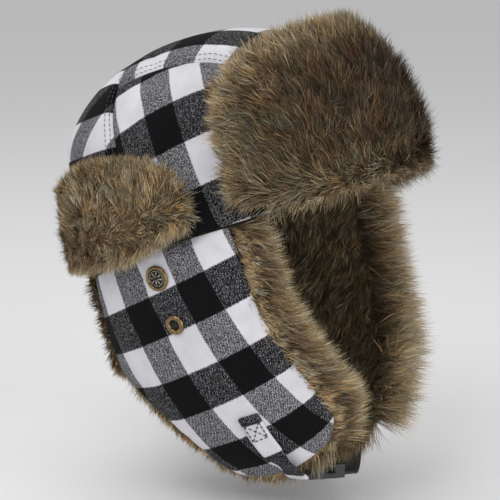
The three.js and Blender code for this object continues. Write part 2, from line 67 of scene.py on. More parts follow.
# Driving dimensions: lengths in millimetres and angles in degrees, except PITCH in radians.
PITCH = math.radians(19)
HALF_WIDTH, HALF_LENGTH, CROWN_HEIGHT = 93, 118, 123
LENGTH_SHIFT = 6
CROWN_PROFILE, CROWN_OUTLINE = 2.3, 2.12
NAPE_TUCK, CROWN_PUFF, TUCK_LOW, TUCK_HIGH = 0.07, 0.03, 50, 84
CHIN_Y, FALL_START, FALL_DEPTH, FALL_PROFILE, FALL_OUTLINE = -36, 8, 170, 1.9, 2.5
SHELL, WADDING, LINING, GAP, EASE = 2.2, 3.4, 1.2, 0.3, 2.4
STRIP_HALF, STRIP_END, SEAM_FOOT = 52, 106, 98
VISOR_END, VISOR_HEIGHT, VISOR_LEAN = 57, 86, 8
CUFF_END, CUFF_HEIGHT, CUFF_PILE = 103, 57, 9
CURTAIN_EDGE = 141
FLAP_FRONT, FLAP_REAR = -65, -139.5
CAP_RADIUS, EYELET_RADIUS, EYELET_BORE = 8.3, 6.6, 3.2
SOCKET_LENGTH, PLUG_BASE, TRAVEL = 27, 9, 20
WEBBING_WIDTH, WEBBING_THICK, TAB_WIDTH, TAB_THICK = 19, 1.4, 14, 2.4
SEAM_DROP, SEAM_REACH = 1.3, 2.6
CELL = 26.0                                    # one check of the flannel
SIDE_CELL, FLAP_CELL = (21.3, 28.9), (23.8, 27.3)   # pulled on the bias, across and along
SEED = 7


# ---- vectors ------------------------------------------------------------------------
def unit(v):
    return v / np.maximum(np.linalg.norm(v, axis=-1, keepdims=True), 1e-9)


def dot(a, b):
    return (a * b).sum(-1)


def point(x, y, z):
    return np.array([x, y, z], float)


def upright(p):
    c, s = math.cos(PITCH), math.sin(PITCH)
    x, y, z = np.moveaxis(np.asarray(p, float), -1, 0)
    return np.stack([x, y * c + z * s, z * c - y * s], -1)


def smooth(x, low, high):
    t = np.clip((x - low) / (high - low), 0, 1)
    return t * t * (3 - 2 * t)


# ---- the two surfaces that the fabric follows ---------------------------------------
def outline(x, y, tuck):
    length = np.where(y > LENGTH_SHIFT, HALF_LENGTH * (1 - tuck), HALF_LENGTH)
    across = np.abs(x / HALF_WIDTH) ** CROWN_OUTLINE
    return across + np.abs((y - LENGTH_SHIFT) / length) ** CROWN_OUTLINE


def crown_inside(p):
    x, y, z = np.moveaxis(p, -1, 0)
    tuck = NAPE_TUCK - (NAPE_TUCK + CROWN_PUFF) * smooth(z, TUCK_LOW, TUCK_HIGH)
    round_it = outline(x, y, tuck) ** (CROWN_PROFILE / CROWN_OUTLINE)
    return round_it + np.abs(z / CROWN_HEIGHT) ** CROWN_PROFILE


def flap_inside(p):
    x, y, z = np.moveaxis(p, -1, 0)
    q = np.clip((-z - FALL_START) / FALL_DEPTH, 0, 0.9999)
    close = (1 - q ** FALL_PROFILE) ** (1 / FALL_OUTLINE)
    y = CHIN_Y + (y - CHIN_Y) / close
    return outline(x / close, y / math.cos(PITCH), NAPE_TUCK)


CROWN = (point(0, LENGTH_SHIFT, 0), crown_inside)
FLAP = (point(0, 0, -45), flap_inside)


def on_skin(skin, aim):
    """The skin's points on the rays from its centre through aim."""
    centre, inside = skin
    ray = unit(np.asarray(aim, float) - centre)
    near = np.zeros(ray.shape[:-1])
    far = near + 260
    for _ in range(36):
        middle = (near + far) / 2
        within = inside(centre + ray * middle[..., None]) < 1
        near = np.where(within, middle, near)
        far = np.where(within, far, middle)
    return centre + ray * near[..., None]


def skin_normal(skin, p):
    step = np.eye(3) * 0.05
    slopes = [skin[1](p + d) - skin[1](p - d) for d in step]
    return unit(np.stack(slopes, -1))


def over_skin(skin, p, lift):
    q = on_skin(skin, p)
    return q + skin_normal(skin, q) * lift


# ---- curves -------------------------------------------------------------------------
def spline(*points):
    """Centripetal curve through the points, as a function of 0 to 1 by arc length."""
    knots = np.array(points, float)
    ends = [2 * knots[0] - knots[1], 2 * knots[-1] - knots[-2]]
    p = np.vstack([ends[0], knots, ends[1]])
    dense = [knots[:1]]
    for k in range(1, len(p) - 2):
        t0 = 0.0
        t1 = t0 + np.linalg.norm(p[k] - p[k - 1]) ** 0.5
        t2 = t1 + np.linalg.norm(p[k + 1] - p[k]) ** 0.5
        t3 = t2 + np.linalg.norm(p[k + 2] - p[k + 1]) ** 0.5
        t = np.linspace(t1, t2, 25)[1:, None]
        a1 = (t1 - t) / (t1 - t0) * p[k - 1] + (t - t0) / (t1 - t0) * p[k]
        a2 = (t2 - t) / (t2 - t1) * p[k] + (t - t1) / (t2 - t1) * p[k + 1]
        a3 = (t3 - t) / (t3 - t2) * p[k + 1] + (t - t2) / (t3 - t2) * p[k + 2]
        b1 = (t2 - t) / (t2 - t0) * a1 + (t - t0) / (t2 - t0) * a2
        b2 = (t3 - t) / (t3 - t1) * a2 + (t - t1) / (t3 - t1) * a3
        dense.append((t2 - t) / (t2 - t1) * b1 + (t - t1) / (t2 - t1) * b2)
    return by_length(np.vstack(dense))


def by_length(p, over=None):
    """The rows of p as a function of 0 to 1, by the arc length of p or of another line."""
    walked = p if over is None else over
    along = np.r_[0, np.cumsum(np.linalg.norm(np.diff(walked, axis=0), axis=1))]
    along /= along[-1]
    return lambda t: np.stack([np.interp(t, along, p[:, k]) for k in range(3)], -1)


def line(a, b):
    return lambda t: a + (b - a) * np.asarray(t, float)[..., None]


def headband(degrees):
    """Points of the headband, in the hat's frame, by degrees round from the front."""
    a = np.radians(np.asarray(degrees, float))
    x, y = np.sin(a) * 100, LENGTH_SHIFT - np.cos(a) * 100
    return on_skin(CROWN, np.stack([x, y, 0 * x], -1))


def below_band(degrees):
    return upright(headband(degrees)) - point(0, 0, 1)


# ---- grids --------------------------------------------------------------------------
class Grid:
    """Rows of points on a skin, with normals, and check coordinates counted in checks."""

    def __init__(self, points, normals, check=None):
        self.points, self.normals = points, normals
        rows, cols = points.shape[:2]
        self.check = np.zeros((rows, cols, 2)) if check is None else check

    def offset(self, amount):
        lift = np.asarray(amount, float)
        return self.points + self.normals * (lift[..., None] if lift.ndim else lift)

    def turned(self):
        return Grid(upright(self.points), upright(self.normals), self.check)

    def mirrored(self):
        flip = point(-1, 1, 1)
        flipped = [(a * flip)[:, ::-1] for a in (self.points, self.normals)]
        return Grid(*flipped, self.check[:, ::-1])


def ease(count):
    """Steps from 0 to 1 that lie closer together at both ends."""
    x = np.linspace(0, 1, count + 1)
    return (x + 0.5 - 0.5 * np.cos(np.pi * x)) / 2


def panel(skin, low, high, start, end, across, up):
    """A patch of the skin between four edges: low and high run from start to end."""
    s, t = ease(across)[None, :, None], ease(up)[:, None, None]
    lo, hi = low(s[0, :, 0])[None], high(s[0, :, 0])[None]
    st, en = start(t[:, 0, 0])[:, None], end(t[:, 0, 0])[:, None]
    aim = lo * (1 - t) + hi * t + st * (1 - s) + en * s
    aim -= lo[:, :1] * (1 - s) * (1 - t) + hi[:, :1] * (1 - s) * t
    aim -= lo[:, -1:] * s * (1 - t) + hi[:, -1:] * s * t
    points = on_skin(skin, aim)
    return Grid(points, skin_normal(skin, points))


def arcs(points, origin=(0, 0)):
    """Distances along the rows and along one column, from the origin's row and column."""
    row0, col0 = origin
    steps = np.linalg.norm(np.diff(points, axis=1), axis=2)
    a = np.pad(np.cumsum(steps, 1), ((0, 0), (1, 0)))
    a -= a[:, col0:col0 + 1]
    rise = np.linalg.norm(np.diff(points[:, col0], axis=0), axis=1)
    b = np.r_[0, np.cumsum(rise)]
    b = np.broadcast_to((b - b[row0])[:, None], a.shape)
    return np.stack([a, b], -1)


def spread(grid, skin, centre, ahead):
    """The grid's points laid out flat round a centre, true in distance from it."""
    middle = on_skin(skin, centre)
    n0 = skin_normal(skin, middle)
    e1 = unit(ahead - n0 * dot(ahead, n0))
    e2 = np.cross(n0, e1)
    d = grid.points - middle
    half = np.arccos(np.clip(dot(grid.normals, n0), -1, 1)) / 2 + 1e-4
    arc = np.linalg.norm(d, axis=-1) * half / np.sin(half)
    flat = unit(np.stack([dot(d, e1), dot(d, e2)], -1))
    return flat * arc[..., None]


def checks(flat, turn, phase, cell, fan=0.0):
    """Check coordinates from flat millimetres, with the grain turned by an angle."""
    a, b = np.moveaxis(flat, -1, 0)
    c, s = math.cos(math.radians(turn)), math.sin(math.radians(turn))
    i = (a * c + b * s) / cell[0] + phase[0] + fan * a * b
    j = (a * s - b * c) / cell[1] + phase[1]
    return np.stack([i, j], -1)


def shifted(flat, across, along):
    """Check coordinates from flat millimetres, moved by two distances."""
    return (flat + (across, along)) / CELL


def edge_distance(points):
    near = np.full(points.shape[:2], 1e9)
    for border in (points[0], points[-1], points[:, 0], points[:, -1]):
        fine = by_length(border)(np.linspace(0, 1, 300))
        gap = np.linalg.norm(points[:, :, None] - fine[None, None], axis=-1).min(2)
        near = np.minimum(near, gap)
    return near


# ---- meshes -------------------------------------------------------------------------
def mesh_object(name, vertices, faces, check=None, finish=None):
    """A mesh piece from points in upright millimetres."""
    mesh = bpy.data.meshes.new(name)
    mesh.from_pydata((np.asarray(vertices) * MM).tolist(), [], faces)
    if check is not None:
        layer = mesh.attributes.new("check", "FLOAT_VECTOR", "POINT")
        layer.data.foreach_set("vector", np.pad(check, ((0, 0), (0, 1))).astype(np.float32).ravel())
    mesh.polygons.foreach_set("use_smooth", [True] * len(mesh.polygons))
    if finish:
        mesh.materials.append(finish)
    mesh.update()
    made = bpy.data.objects.new(name, mesh)
    bpy.context.scene.collection.objects.link(made)
    return made


def border_of(rows, cols):
    low = [(0, c) for c in range(cols - 1)]
    end = [(r, cols - 1) for r in range(rows - 1)]
    high = [(rows - 1, c) for c in range(cols - 1, 0, -1)]
    start = [(r, 0) for r in range(rows - 1, 0, -1)]
    return low + end + high + start


def grid_quads(rows, cols, base=0, wrap=False):
    quads = []
    for r in range(rows - 1):
        for c in range(cols if wrap else cols - 1):
            a, b = base + r * cols + c, base + r * cols + (c + 1) % cols
            quads.append((a, b, b + cols, a + cols))
    return quads


def slab(name, top, bottom, check, finish, swell=0.5, wrap=False):
    """A closed sheet between two grids of points, with a rounded rim between them."""
    rows, cols = top.shape[:2]
    count = rows * cols
    faces = grid_quads(rows, cols, 0, wrap)
    faces += [q[::-1] for q in grid_quads(rows, cols, count, wrap)]
    loops = [border_of(rows, cols)]
    if wrap:
        loops = [[(0, c) for c in range(cols)], [(rows - 1, c) for c in range(cols - 1, -1, -1)]]
    vertices = [top.reshape(-1, 3), bottom.reshape(-1, 3)]
    tints = [check.reshape(-1, 2)] * 2
    base = 2 * count
    for loop in loops:
        r, c = np.array(loop).T
        inner_r = np.clip(r, 1, rows - 2)
        inner_c = c if wrap else np.clip(c, 1, cols - 2)
        away = unit(top[r, c] - top[inner_r, inner_c])
        vertices.append((top[r, c] + bottom[r, c]) / 2 + away * swell)
        tints.append(check[r, c])
        n = len(loop)
        for k in range(n):
            a, b = r[k] * cols + c[k], r[(k + 1) % n] * cols + c[(k + 1) % n]
            m, o = base + k, base + (k + 1) % n
            faces += [(a, m, o, b), (m, count + a, count + b, o)]
        base += n
    made = mesh_object(name, np.vstack(vertices), faces, np.vstack(tints), finish)
    outward(made)
    made.modifiers.new("subdivide", "SUBSURF").levels = 1
    bake_modifiers(made)
    return made


def outward(made):
    work = bmesh.new()
    work.from_mesh(made.data)
    bmesh.ops.remove_doubles(work, verts=work.verts, dist=0.02 * MM)
    bmesh.ops.dissolve_degenerate(work, edges=work.edges, dist=0.005 * MM)
    bmesh.ops.recalc_face_normals(work, faces=work.faces)
    work.to_mesh(made.data)
    work.free()


def bake_modifiers(made):
    graph = bpy.context.evaluated_depsgraph_get()
    final = bpy.data.meshes.new_from_object(made.evaluated_get(graph))
    made.modifiers.clear()
    old = made.data
    made.data = final
    final.name = made.name
    bpy.data.meshes.remove(old)


def settle(grid, pressure, slack, cap, held=None):
    """Cloth simulation of a panel that is sewn down along its edges: it puffs and puckers."""
    rows, cols = grid.points.shape[:2]
    quads = grid_quads(rows, cols)
    if dot(grid_side(grid), grid.normals).mean() < 0:
        quads = [q[::-1] for q in quads]
    work = mesh_object("cloth_work", grid.points.reshape(-1, 3), quads)
    group = work.vertex_groups.new(name="held")
    fixed = [r * cols + c for r, c in border_of(rows, cols)]
    fixed += [] if held is None else np.flatnonzero(held.ravel()).tolist()
    group.add(sorted(set(fixed)), 1.0, "REPLACE")
    cloth = work.modifiers.new("cloth", "CLOTH").settings
    cloth.vertex_group_mass = "held"
    cloth.effector_weights.gravity = 0
    cloth.use_pressure = True
    cloth.uniform_pressure_force = pressure
    cloth.shrink_min = -slack
    cloth.tension_stiffness = 30
    cloth.compression_stiffness = 12
    cloth.bending_stiffness = 0.6
    scene = bpy.context.scene
    for step in range(1, 21):
        scene.frame_set(step)
    graph = bpy.context.evaluated_depsgraph_get()
    moved = np.zeros(rows * cols * 3)
    work.evaluated_get(graph).data.vertices.foreach_get("co", moved)
    shift = moved.reshape(rows, cols, 3) / MM - grid.points
    reach = np.linalg.norm(shift, axis=-1, keepdims=True)
    shift *= np.minimum(1, cap / np.maximum(reach, 1e-9))
    bpy.data.objects.remove(work)
    scene.frame_set(1)
    return Grid(grid.points + shift, grid.normals, grid.check)


def grid_side(grid):
    """The way that the grid's own quads face, as unit vectors."""
    across = np.gradient(grid.points, axis=1)
    up = np.gradient(grid.points, axis=0)
    return unit(np.cross(across, up))


# ---- materials ----------------------------------------------------------------------
class Graph:
    """A Principled material and short ways to add nodes to it."""

    def __init__(self, name, **shader):
        self.material = bpy.data.materials.new(name)
        self.material.use_nodes = True
        self.tree = self.material.node_tree
        self.shader = self.tree.nodes["Principled BSDF"]
        for socket, value in shader.items():
            self.shader.inputs[socket.replace("_", " ")].default_value = value

    def plug(self, socket, value):
        if isinstance(value, bpy.types.NodeSocket):
            self.tree.links.new(value, socket)
        else:
            socket.default_value = value

    def node(self, kind, values=(), **settings):
        made = self.tree.nodes.new(kind)
        for key, value in settings.items():
            setattr(made, key, value)
        for key, value in dict(values).items():
            self.plug(made.inputs[key], value)
        return made

    def math(self, operation, *values):
        return self.node("ShaderNodeMath", dict(enumerate(values)), operation=operation).outputs[0]

    def attribute(self, name):
        return self.node("ShaderNodeAttribute", attribute_name=name)

    def place(self):
        return self.node("ShaderNodeTexCoord").outputs["Object"]

    def noise(self, scale, detail=2.0, rough=0.5, at=None):
        values = {"Scale": scale, "Detail": detail, "Roughness": rough, "Vector": at or self.place()}
        return self.node("ShaderNodeTexNoise", values).outputs["Fac"]

    def remap(self, value, low, high, to_low=0.0, to_high=1.0):
        values = {0: value, 1: low, 2: high, 3: to_low, 4: to_high}
        return self.node("ShaderNodeMapRange", values).outputs[0]

    def mix(self, share, a, b):
        made = self.node("ShaderNodeMix", data_type="RGBA")
        for socket, value in ((0, share), (6, a), (7, b)):
            self.plug(made.inputs[socket], value)
        return made.outputs[2]

    def bump(self, height, strength, distance, under=None):
        values = {"Height": height, "Strength": strength, "Distance": distance}
        if under:
            values["Normal"] = under
        return self.node("ShaderNodeBump", values).outputs["Normal"]

    def scaled(self, colour, by):
        values = {0: colour, "Scale": by}
        return self.node("ShaderNodeVectorMath", values, operation="SCALE").outputs[0]

    def check_axes(self):
        return self.node("ShaderNodeSeparateXYZ", {0: self.attribute("check").outputs["Vector"]}).outputs

    def colour(self, value):
        self.plug(self.shader.inputs["Base Color"], value)

    def roughness(self, value):
        self.plug(self.shader.inputs["Roughness"], value)

    def normal(self, value):
        self.plug(self.shader.inputs["Normal"], value)


WARP_FLECK, WEFT_FLECK = -0.09, 0.19           # how much white shows in the two grey checks


def flannel_material():
    """Buffalo check: warp and weft bands of black and white in a brushed twill."""
    g = Graph("buffalo_check_flannel", Roughness=0.95, Sheen_Weight=0.02, Sheen_Roughness=0.5)
    g.shader.inputs["Specular IOR Level"].default_value = 0.06
    split = g.check_axes()
    fuzz = g.math("MULTIPLY", g.math("SUBTRACT", g.noise(900.0, 3.0, 0.7), 0.5), 0.09)
    i, j = g.math("ADD", split[0], fuzz), g.math("ADD", split[1], fuzz)

    def band(x):
        wave = g.math("PINGPONG", g.math("ADD", x, 0.5), 1.0)
        return g.remap(wave, 0.485, 0.515)

    diagonal = g.math("MULTIPLY", g.math("ADD", split[0], split[1]), 2 * math.pi * 18)
    twill = g.math("MULTIPLY", g.math("SINE", diagonal), 0.2)
    heather = g.math("MULTIPLY", g.math("SUBTRACT", g.noise(1250.0, 3.0, 0.75), 0.5), 3.2)
    warp, weft = band(i), g.math("SUBTRACT", 1.0, band(j))
    both = g.math("MULTIPLY", warp, weft)
    one = g.math("SUBTRACT", g.math("MAXIMUM", warp, weft), both)
    bias = g.remap(warp, 0.0, 1.0, WEFT_FLECK, WARP_FLECK)
    fleck = g.remap(g.math("ADD", g.math("ADD", twill, heather), bias), 0.0, 1.0)
    white = g.math("ADD", both, g.math("MULTIPLY", one, fleck))
    thread = g.mix(white, (0.006, 0.006, 0.007, 1), (0.69, 0.68, 0.72, 1))
    cloud = g.remap(g.noise(60.0, 3.0), 0.3, 0.7, 0.9, 1.06)
    g.colour(g.scaled(thread, cloud))
    nap = g.bump(g.noise(1300.0, 4.0, 0.7), 0.35, 0.0006)
    g.normal(g.bump(g.math("SINE", diagonal), 0.2, 0.0003, nap))
    return g.material


def fur_material():
    """Hair: its colour is a vertex attribute, dark at the root and light at the tip."""
    g = Graph("faux_fur", Roughness=0.6, Sheen_Weight=0.04, Sheen_Roughness=0.4)
    g.shader.inputs["Specular IOR Level"].default_value = 0.2
    streak = g.remap(g.noise(350.0, 3.0, 0.6), 0.25, 0.75, 0.8, 1.2)
    g.colour(g.scaled(g.attribute("tint").outputs["Color"], streak))
    return g.material


def cloth_material(name, base, light, roughness, sheen=0.1, scale=1400.0):
    g = Graph(name, Roughness=roughness, Sheen_Weight=sheen)
    share = g.remap(g.noise(scale * 0.06, 4.0, 0.6), 0.3, 0.7)
    g.colour(g.mix(share, (*base, 1), (*light, 1)))
    g.normal(g.bump(g.noise(scale, 3.0, 0.6), 0.3, 0.0004))
    return g.material


def webbing_material():
    """Woven webbing: fine ribs across the strap, from its own check coordinates."""
    g = Graph("black_webbing", Roughness=0.8, Sheen_Weight=0.1)
    split = g.check_axes()
    rib = g.math("SINE", g.math("MULTIPLY", split[1], 2 * math.pi))
    cord = g.math("SINE", g.math("MULTIPLY", split[0], 2 * math.pi))
    weave = g.math("MULTIPLY", rib, cord)
    # The weave's raised points are painted lighter and its low points darker: painted light and shade on
    # the weave.
    g.colour(g.mix(g.remap(weave, -1.0, 1.0), (0.008, 0.008, 0.009, 1), (0.035, 0.035, 0.038, 1)))
    g.normal(g.bump(weave, 0.6, 0.0004))
    return g.material


def metal_material(name, bright, dark, roughness):
    """Plated metal with a dark patina that gathers in spots and between raised parts."""
    g = Graph(name, Metallic=1.0)
    share = g.remap(g.noise(900.0, 5.0, 0.65), 0.35, 0.68)
    share = g.math("MAXIMUM", share, g.attribute("hollow").outputs["Fac"])
    g.colour(g.mix(share, (*bright, 1), (*dark, 1)))
    g.roughness(g.remap(g.noise(500.0, 4.0, 0.6), 0.3, 0.7, roughness, roughness + 0.18))
    g.normal(g.bump(g.noise(2500.0, 3.0, 0.6), 0.12, 0.0002))
    return g.material


def plastic_material():
    g = Graph("black_plastic")
    g.colour(g.mix(g.noise(300.0, 3.0), (0.008, 0.0085, 0.0095, 1), (0.016, 0.0165, 0.018, 1)))
    g.roughness(g.remap(g.noise(700.0, 4.0, 0.6), 0.3, 0.7, 0.36, 0.5))
    g.normal(g.bump(g.noise(2200.0, 2.0, 0.5), 0.15, 0.0002))
    return g.material


FLANNEL = flannel_material()
FUR = fur_material()
FELT = cloth_material("wadding_felt", (0.62, 0.6, 0.56), (0.74, 0.72, 0.68), 0.95)
SATIN = cloth_material("quilted_satin", (0.012, 0.012, 0.014), (0.022, 0.022, 0.025), 0.42, 0.2, 2200.0)
BAND = cloth_material("sweatband_cotton", (0.014, 0.014, 0.015), (0.03, 0.03, 0.032), 0.85)
THREAD = cloth_material("grey_thread", (0.05, 0.05, 0.055), (0.11, 0.11, 0.115), 0.8, 0.1, 3000.0)
BLACK_THREAD = cloth_material("black_thread", (0.01, 0.01, 0.01), (0.03, 0.03, 0.03), 0.8, 0.1, 3000.0)
BRASS = metal_material("antique_brass", (0.36, 0.25, 0.12), (0.10, 0.07, 0.035), 0.22)
NICKEL = metal_material("worn_nickel", (0.52, 0.5, 0.45), (0.02, 0.018, 0.015), 0.24)
DARK = cloth_material("socket_shadow", (0.004, 0.004, 0.004), (0.01, 0.01, 0.01), 0.7)
PLASTIC = plastic_material()
WEBBING = webbing_material()


# ---- putting pieces on bodies -------------------------------------------------------
FLAP_BLEND = (upright(point(0, 0, -2)) * MM, upright(point(0, 0, -40)) * MM)
VISOR_BLEND = (upright(point(0, -55, 0)) * MM, upright(point(0, -95, 0)) * MM)
CUFF_BLEND = (upright(point(0, 20, 0)) * MM, upright(point(0, 70, 0)) * MM)


def place(made, body, nodes=(), blend=None):
    """Rides the piece on its body; with blend, it only bakes the piece's transform and leaves it on no
    body.
    """
    if blend:
        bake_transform(made)
    else:
        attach(made, body)
    if nodes:
        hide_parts(*nodes)
    return made


def seam_roll(distance):
    """The lift of a panel's face at a distance from its seam: it sinks towards the seam."""
    return -SEAM_DROP * np.exp(-(distance / SEAM_REACH) ** 2)


def fabric(name, grid, body, node, blend=None):
    """A flannel panel: it rolls down at its seams."""
    top = grid.offset(seam_roll(edge_distance(grid.points)) - 0.05)
    made = slab(name, top, grid.offset(-SHELL), grid.check, FLANNEL, swell=0.35)
    place(made, body, [node], blend)


# ---- crown --------------------------------------------------------------------------
def strip_edge(over, side):
    """The crown strip's edge, by degrees over the crown from the front."""
    a = np.radians(np.asarray(over, float))
    x = side * STRIP_HALF * (0.78 + 0.22 * np.sin(a))
    reach = np.full(a.shape, 90.0)
    for _ in range(14):
        aim = np.stack([x, LENGTH_SHIFT - np.cos(a) * reach, np.sin(a) * reach], -1)
        p = on_skin(CROWN, aim)
        wider = reach * p[..., 0] / x
        p = on_skin(CROWN, np.stack([x, LENGTH_SHIFT - np.cos(a) * wider, np.sin(a) * wider], -1))
        reach = np.hypot(p[..., 1] - LENGTH_SHIFT, p[..., 2])
    return on_skin(CROWN, np.stack([x, LENGTH_SHIFT - np.cos(a) * reach, np.sin(a) * reach], -1))


def seam_edge(side, first, last, nudge=0.0):
    return lambda t: strip_edge(first + (last - first) * np.asarray(t), side) + point(nudge, 0, 0)


def strip_grid():
    grid = panel(CROWN, line(strip_edge(1, -1), strip_edge(1, 1)),
                 line(strip_edge(STRIP_END, -1), strip_edge(STRIP_END, 1)),
                 seam_edge(-1, 1, STRIP_END, 0.2), seam_edge(1, 1, STRIP_END, -0.2), 30, 50)
    middle = grid.points.shape[1] // 2
    apex = int(np.argmax(grid.points[:, middle, 2]))
    flat = arcs(grid.points, (apex, middle))
    grid.check = shifted(flat[..., ::-1], 10, 38)
    return grid


def side_grid():
    """The right side panel of the crown; the left is its mirror."""
    front_top, front_foot = 34, 31
    foot = headband(-SEAM_FOOT)
    grid = panel(CROWN, lambda t: headband(-front_foot - (SEAM_FOOT - front_foot) * np.asarray(t)),
                 seam_edge(-1, front_top, STRIP_END, -0.2), seam_edge(-1, 1, front_top, -0.2),
                 line(foot, strip_edge(STRIP_END, -1)), 44, 36)
    flat = spread(grid, CROWN, point(-75.6, -16, 77.9), point(0, -1, 0))
    grid.check = checks(flat, 12.9, (-0.02, 0.18), SIDE_CELL)
    return grid


def round_coords(points):
    """Distance round the crown from its back, and up from the headband."""
    turn = np.linspace(-180, 180, 361)
    loop = headband(180 - turn)
    along = np.r_[0, np.cumsum(np.linalg.norm(np.diff(loop, axis=0), axis=1))]
    along -= along[180]
    x, y, z = np.moveaxis(points, -1, 0)
    angle = np.degrees(np.arctan2(x, y - LENGTH_SHIFT))
    lean = (1 - np.clip(z / CROWN_HEIGHT, 0, 0.99) ** CROWN_PROFILE) ** (1 / CROWN_PROFILE)
    heights = np.linspace(0, CROWN_HEIGHT * 0.99, 200)
    profile = (1 - (heights / CROWN_HEIGHT) ** CROWN_PROFILE) ** (1 / CROWN_PROFILE) * 100
    rise = np.r_[0, np.cumsum(np.hypot(np.diff(heights), np.diff(profile)))]
    return np.stack([np.interp(angle, turn, along) * lean, np.interp(z, heights, rise)], -1)


def back_grid():
    foot, up = SEAM_FOOT + 0.6, point(0, 0.6, 0)
    top = strip_edge(STRIP_END, 1) + up, strip_edge(STRIP_END, -1) + up
    grid = panel(CROWN, lambda t: headband(foot + (358.8 - 2 * SEAM_FOOT) * np.asarray(t)),
                 line(*top), line(headband(foot), top[0]), line(headband(-foot), top[1]), 60, 34)
    grid.check = shifted(round_coords(grid.points), 5, -43)
    return grid


def build_crown():
    made = {}
    strip, side, back = strip_grid(), side_grid(), back_grid()
    for key, grid in (("top_strip", strip), ("side_right", side), ("back_panel", back)):
        made[key] = settle(grid, 4.0, 0.012, 3.0)
    made["side_left"] = made["side_right"].mirrored()
    for key, grid in made.items():
        fabric(f"crown_{key}_flannel", grid.turned(), "crown", f"crown_{key}")
    return made


def dome(name, inner, outer, top_lift, finish, quilt=0.0, rows=34):
    """A dome inside the crown, quilted in diamonds if asked."""
    lift = np.radians(np.linspace(0.5, top_lift, rows))[:, None]
    a = np.linspace(0, 2 * np.pi, 96, endpoint=False)[None]
    aim = np.stack([np.sin(a) * np.cos(lift), -np.cos(a) * np.cos(lift), np.sin(lift) + 0 * a], -1)
    points = on_skin(CROWN, aim + CROWN[0])
    grid = Grid(points, skin_normal(CROWN, points)).turned()
    u, v = a * 16 / np.pi, lift * 16 / np.pi
    puff = np.abs(np.sin(np.pi * (u + v) / 2) * np.sin(np.pi * (u - v) / 2)) ** 0.5
    puff = quilt * puff * np.cos(lift) ** 0.3
    return slab(name, grid.offset(outer - puff * 0.5), grid.offset(inner - puff), grid.check,
                finish, wrap=True)


def build_crown_inside():
    wadding = SHELL + EASE
    lining = wadding + WADDING + GAP
    band = lining + LINING + EASE
    pad = dome("crown_padding", -wadding - WADDING, -wadding - 0.5, 90, FELT)
    place(pad, "crown", ["crown_wadding"])
    cover = dome("crown_quilted_lining", -lining - LINING, -lining, 90, SATIN, 1.6)
    place(cover, "crown", ["crown_lining"])
    ring = dome("sweatband_band", -band - LINING, -band, 12.75, BAND, rows=8)
    place(ring, "crown", ["sweatband"])


crown_panels = build_crown()
build_crown_inside()


# ---- fur ----------------------------------------------------------------------------
TAN = np.array([0.33, 0.215, 0.110])
OLIVE = np.array([0.21, 0.165, 0.090])
RUST = np.array([0.125, 0.054, 0.018])
PALE = np.array([0.66, 0.53, 0.34])
SOOT = np.array([0.016, 0.011, 0.007])
STRAND_LEVELS = np.array([0.0, 0.55, 1.0])
STRAND_WIDTH, FRINGE_WIDTH, PRESSED_WIDTH = 0.34, 0.36, 0.45
RIBBON_SHARE = 0.9                             # a strand's width below its tip, of its full width
LOCK = 14                                      # strands in a lock, on average


def flow_noise(p, scale, seed):
    """A smooth swirl: a few waves of millimetre position, between about -1 and 1."""
    rng = np.random.default_rng(seed)
    total = 0
    for _ in range(5):
        wave = rng.normal(0, 1, 3)
        wave = wave / np.linalg.norm(wave) * 2 * np.pi / (scale * rng.uniform(0.6, 1.5))
        total = total + np.sin(p @ wave + rng.uniform(0, 6.28))
    return total / 3


def scatter(grid, lift, per_mm2, rng):
    """Random roots on a grid: points, normals, the two surface directions and grid shares."""
    p = grid.offset(lift)
    rows, cols = p.shape[:2]
    a, b, c = p[:-1, :-1], p[:-1, 1:], p[1:, :-1]
    area = np.linalg.norm(np.cross(b - a, c - a), axis=-1)
    count = int(area.sum() * per_mm2)
    cell = rng.choice(area.size, count, p=area.ravel() / area.sum())
    row, col = np.divmod(cell, cols - 1)
    u, v = rng.random((2, count, 1))

    def blend_of(field):
        near = field[row, col] * (1 - u) + field[row, col + 1] * u
        far = field[row + 1, col] * (1 - u) + field[row + 1, col + 1] * u
        return near * (1 - v) + far * v

    across = unit((b - a)[row, col])
    up = unit((c - a)[row, col])
    s = blend_of(np.broadcast_to(np.linspace(0, 1, cols)[None, :, None], (rows, cols, 1)))
    t = blend_of(np.broadcast_to(np.linspace(0, 1, rows)[:, None, None], (rows, cols, 1)))
    return {"root": blend_of(p), "up": unit(blend_of(grid.normals)), "across": across,
            "along": up, "s": s[:, 0], "t": t[:, 0]}


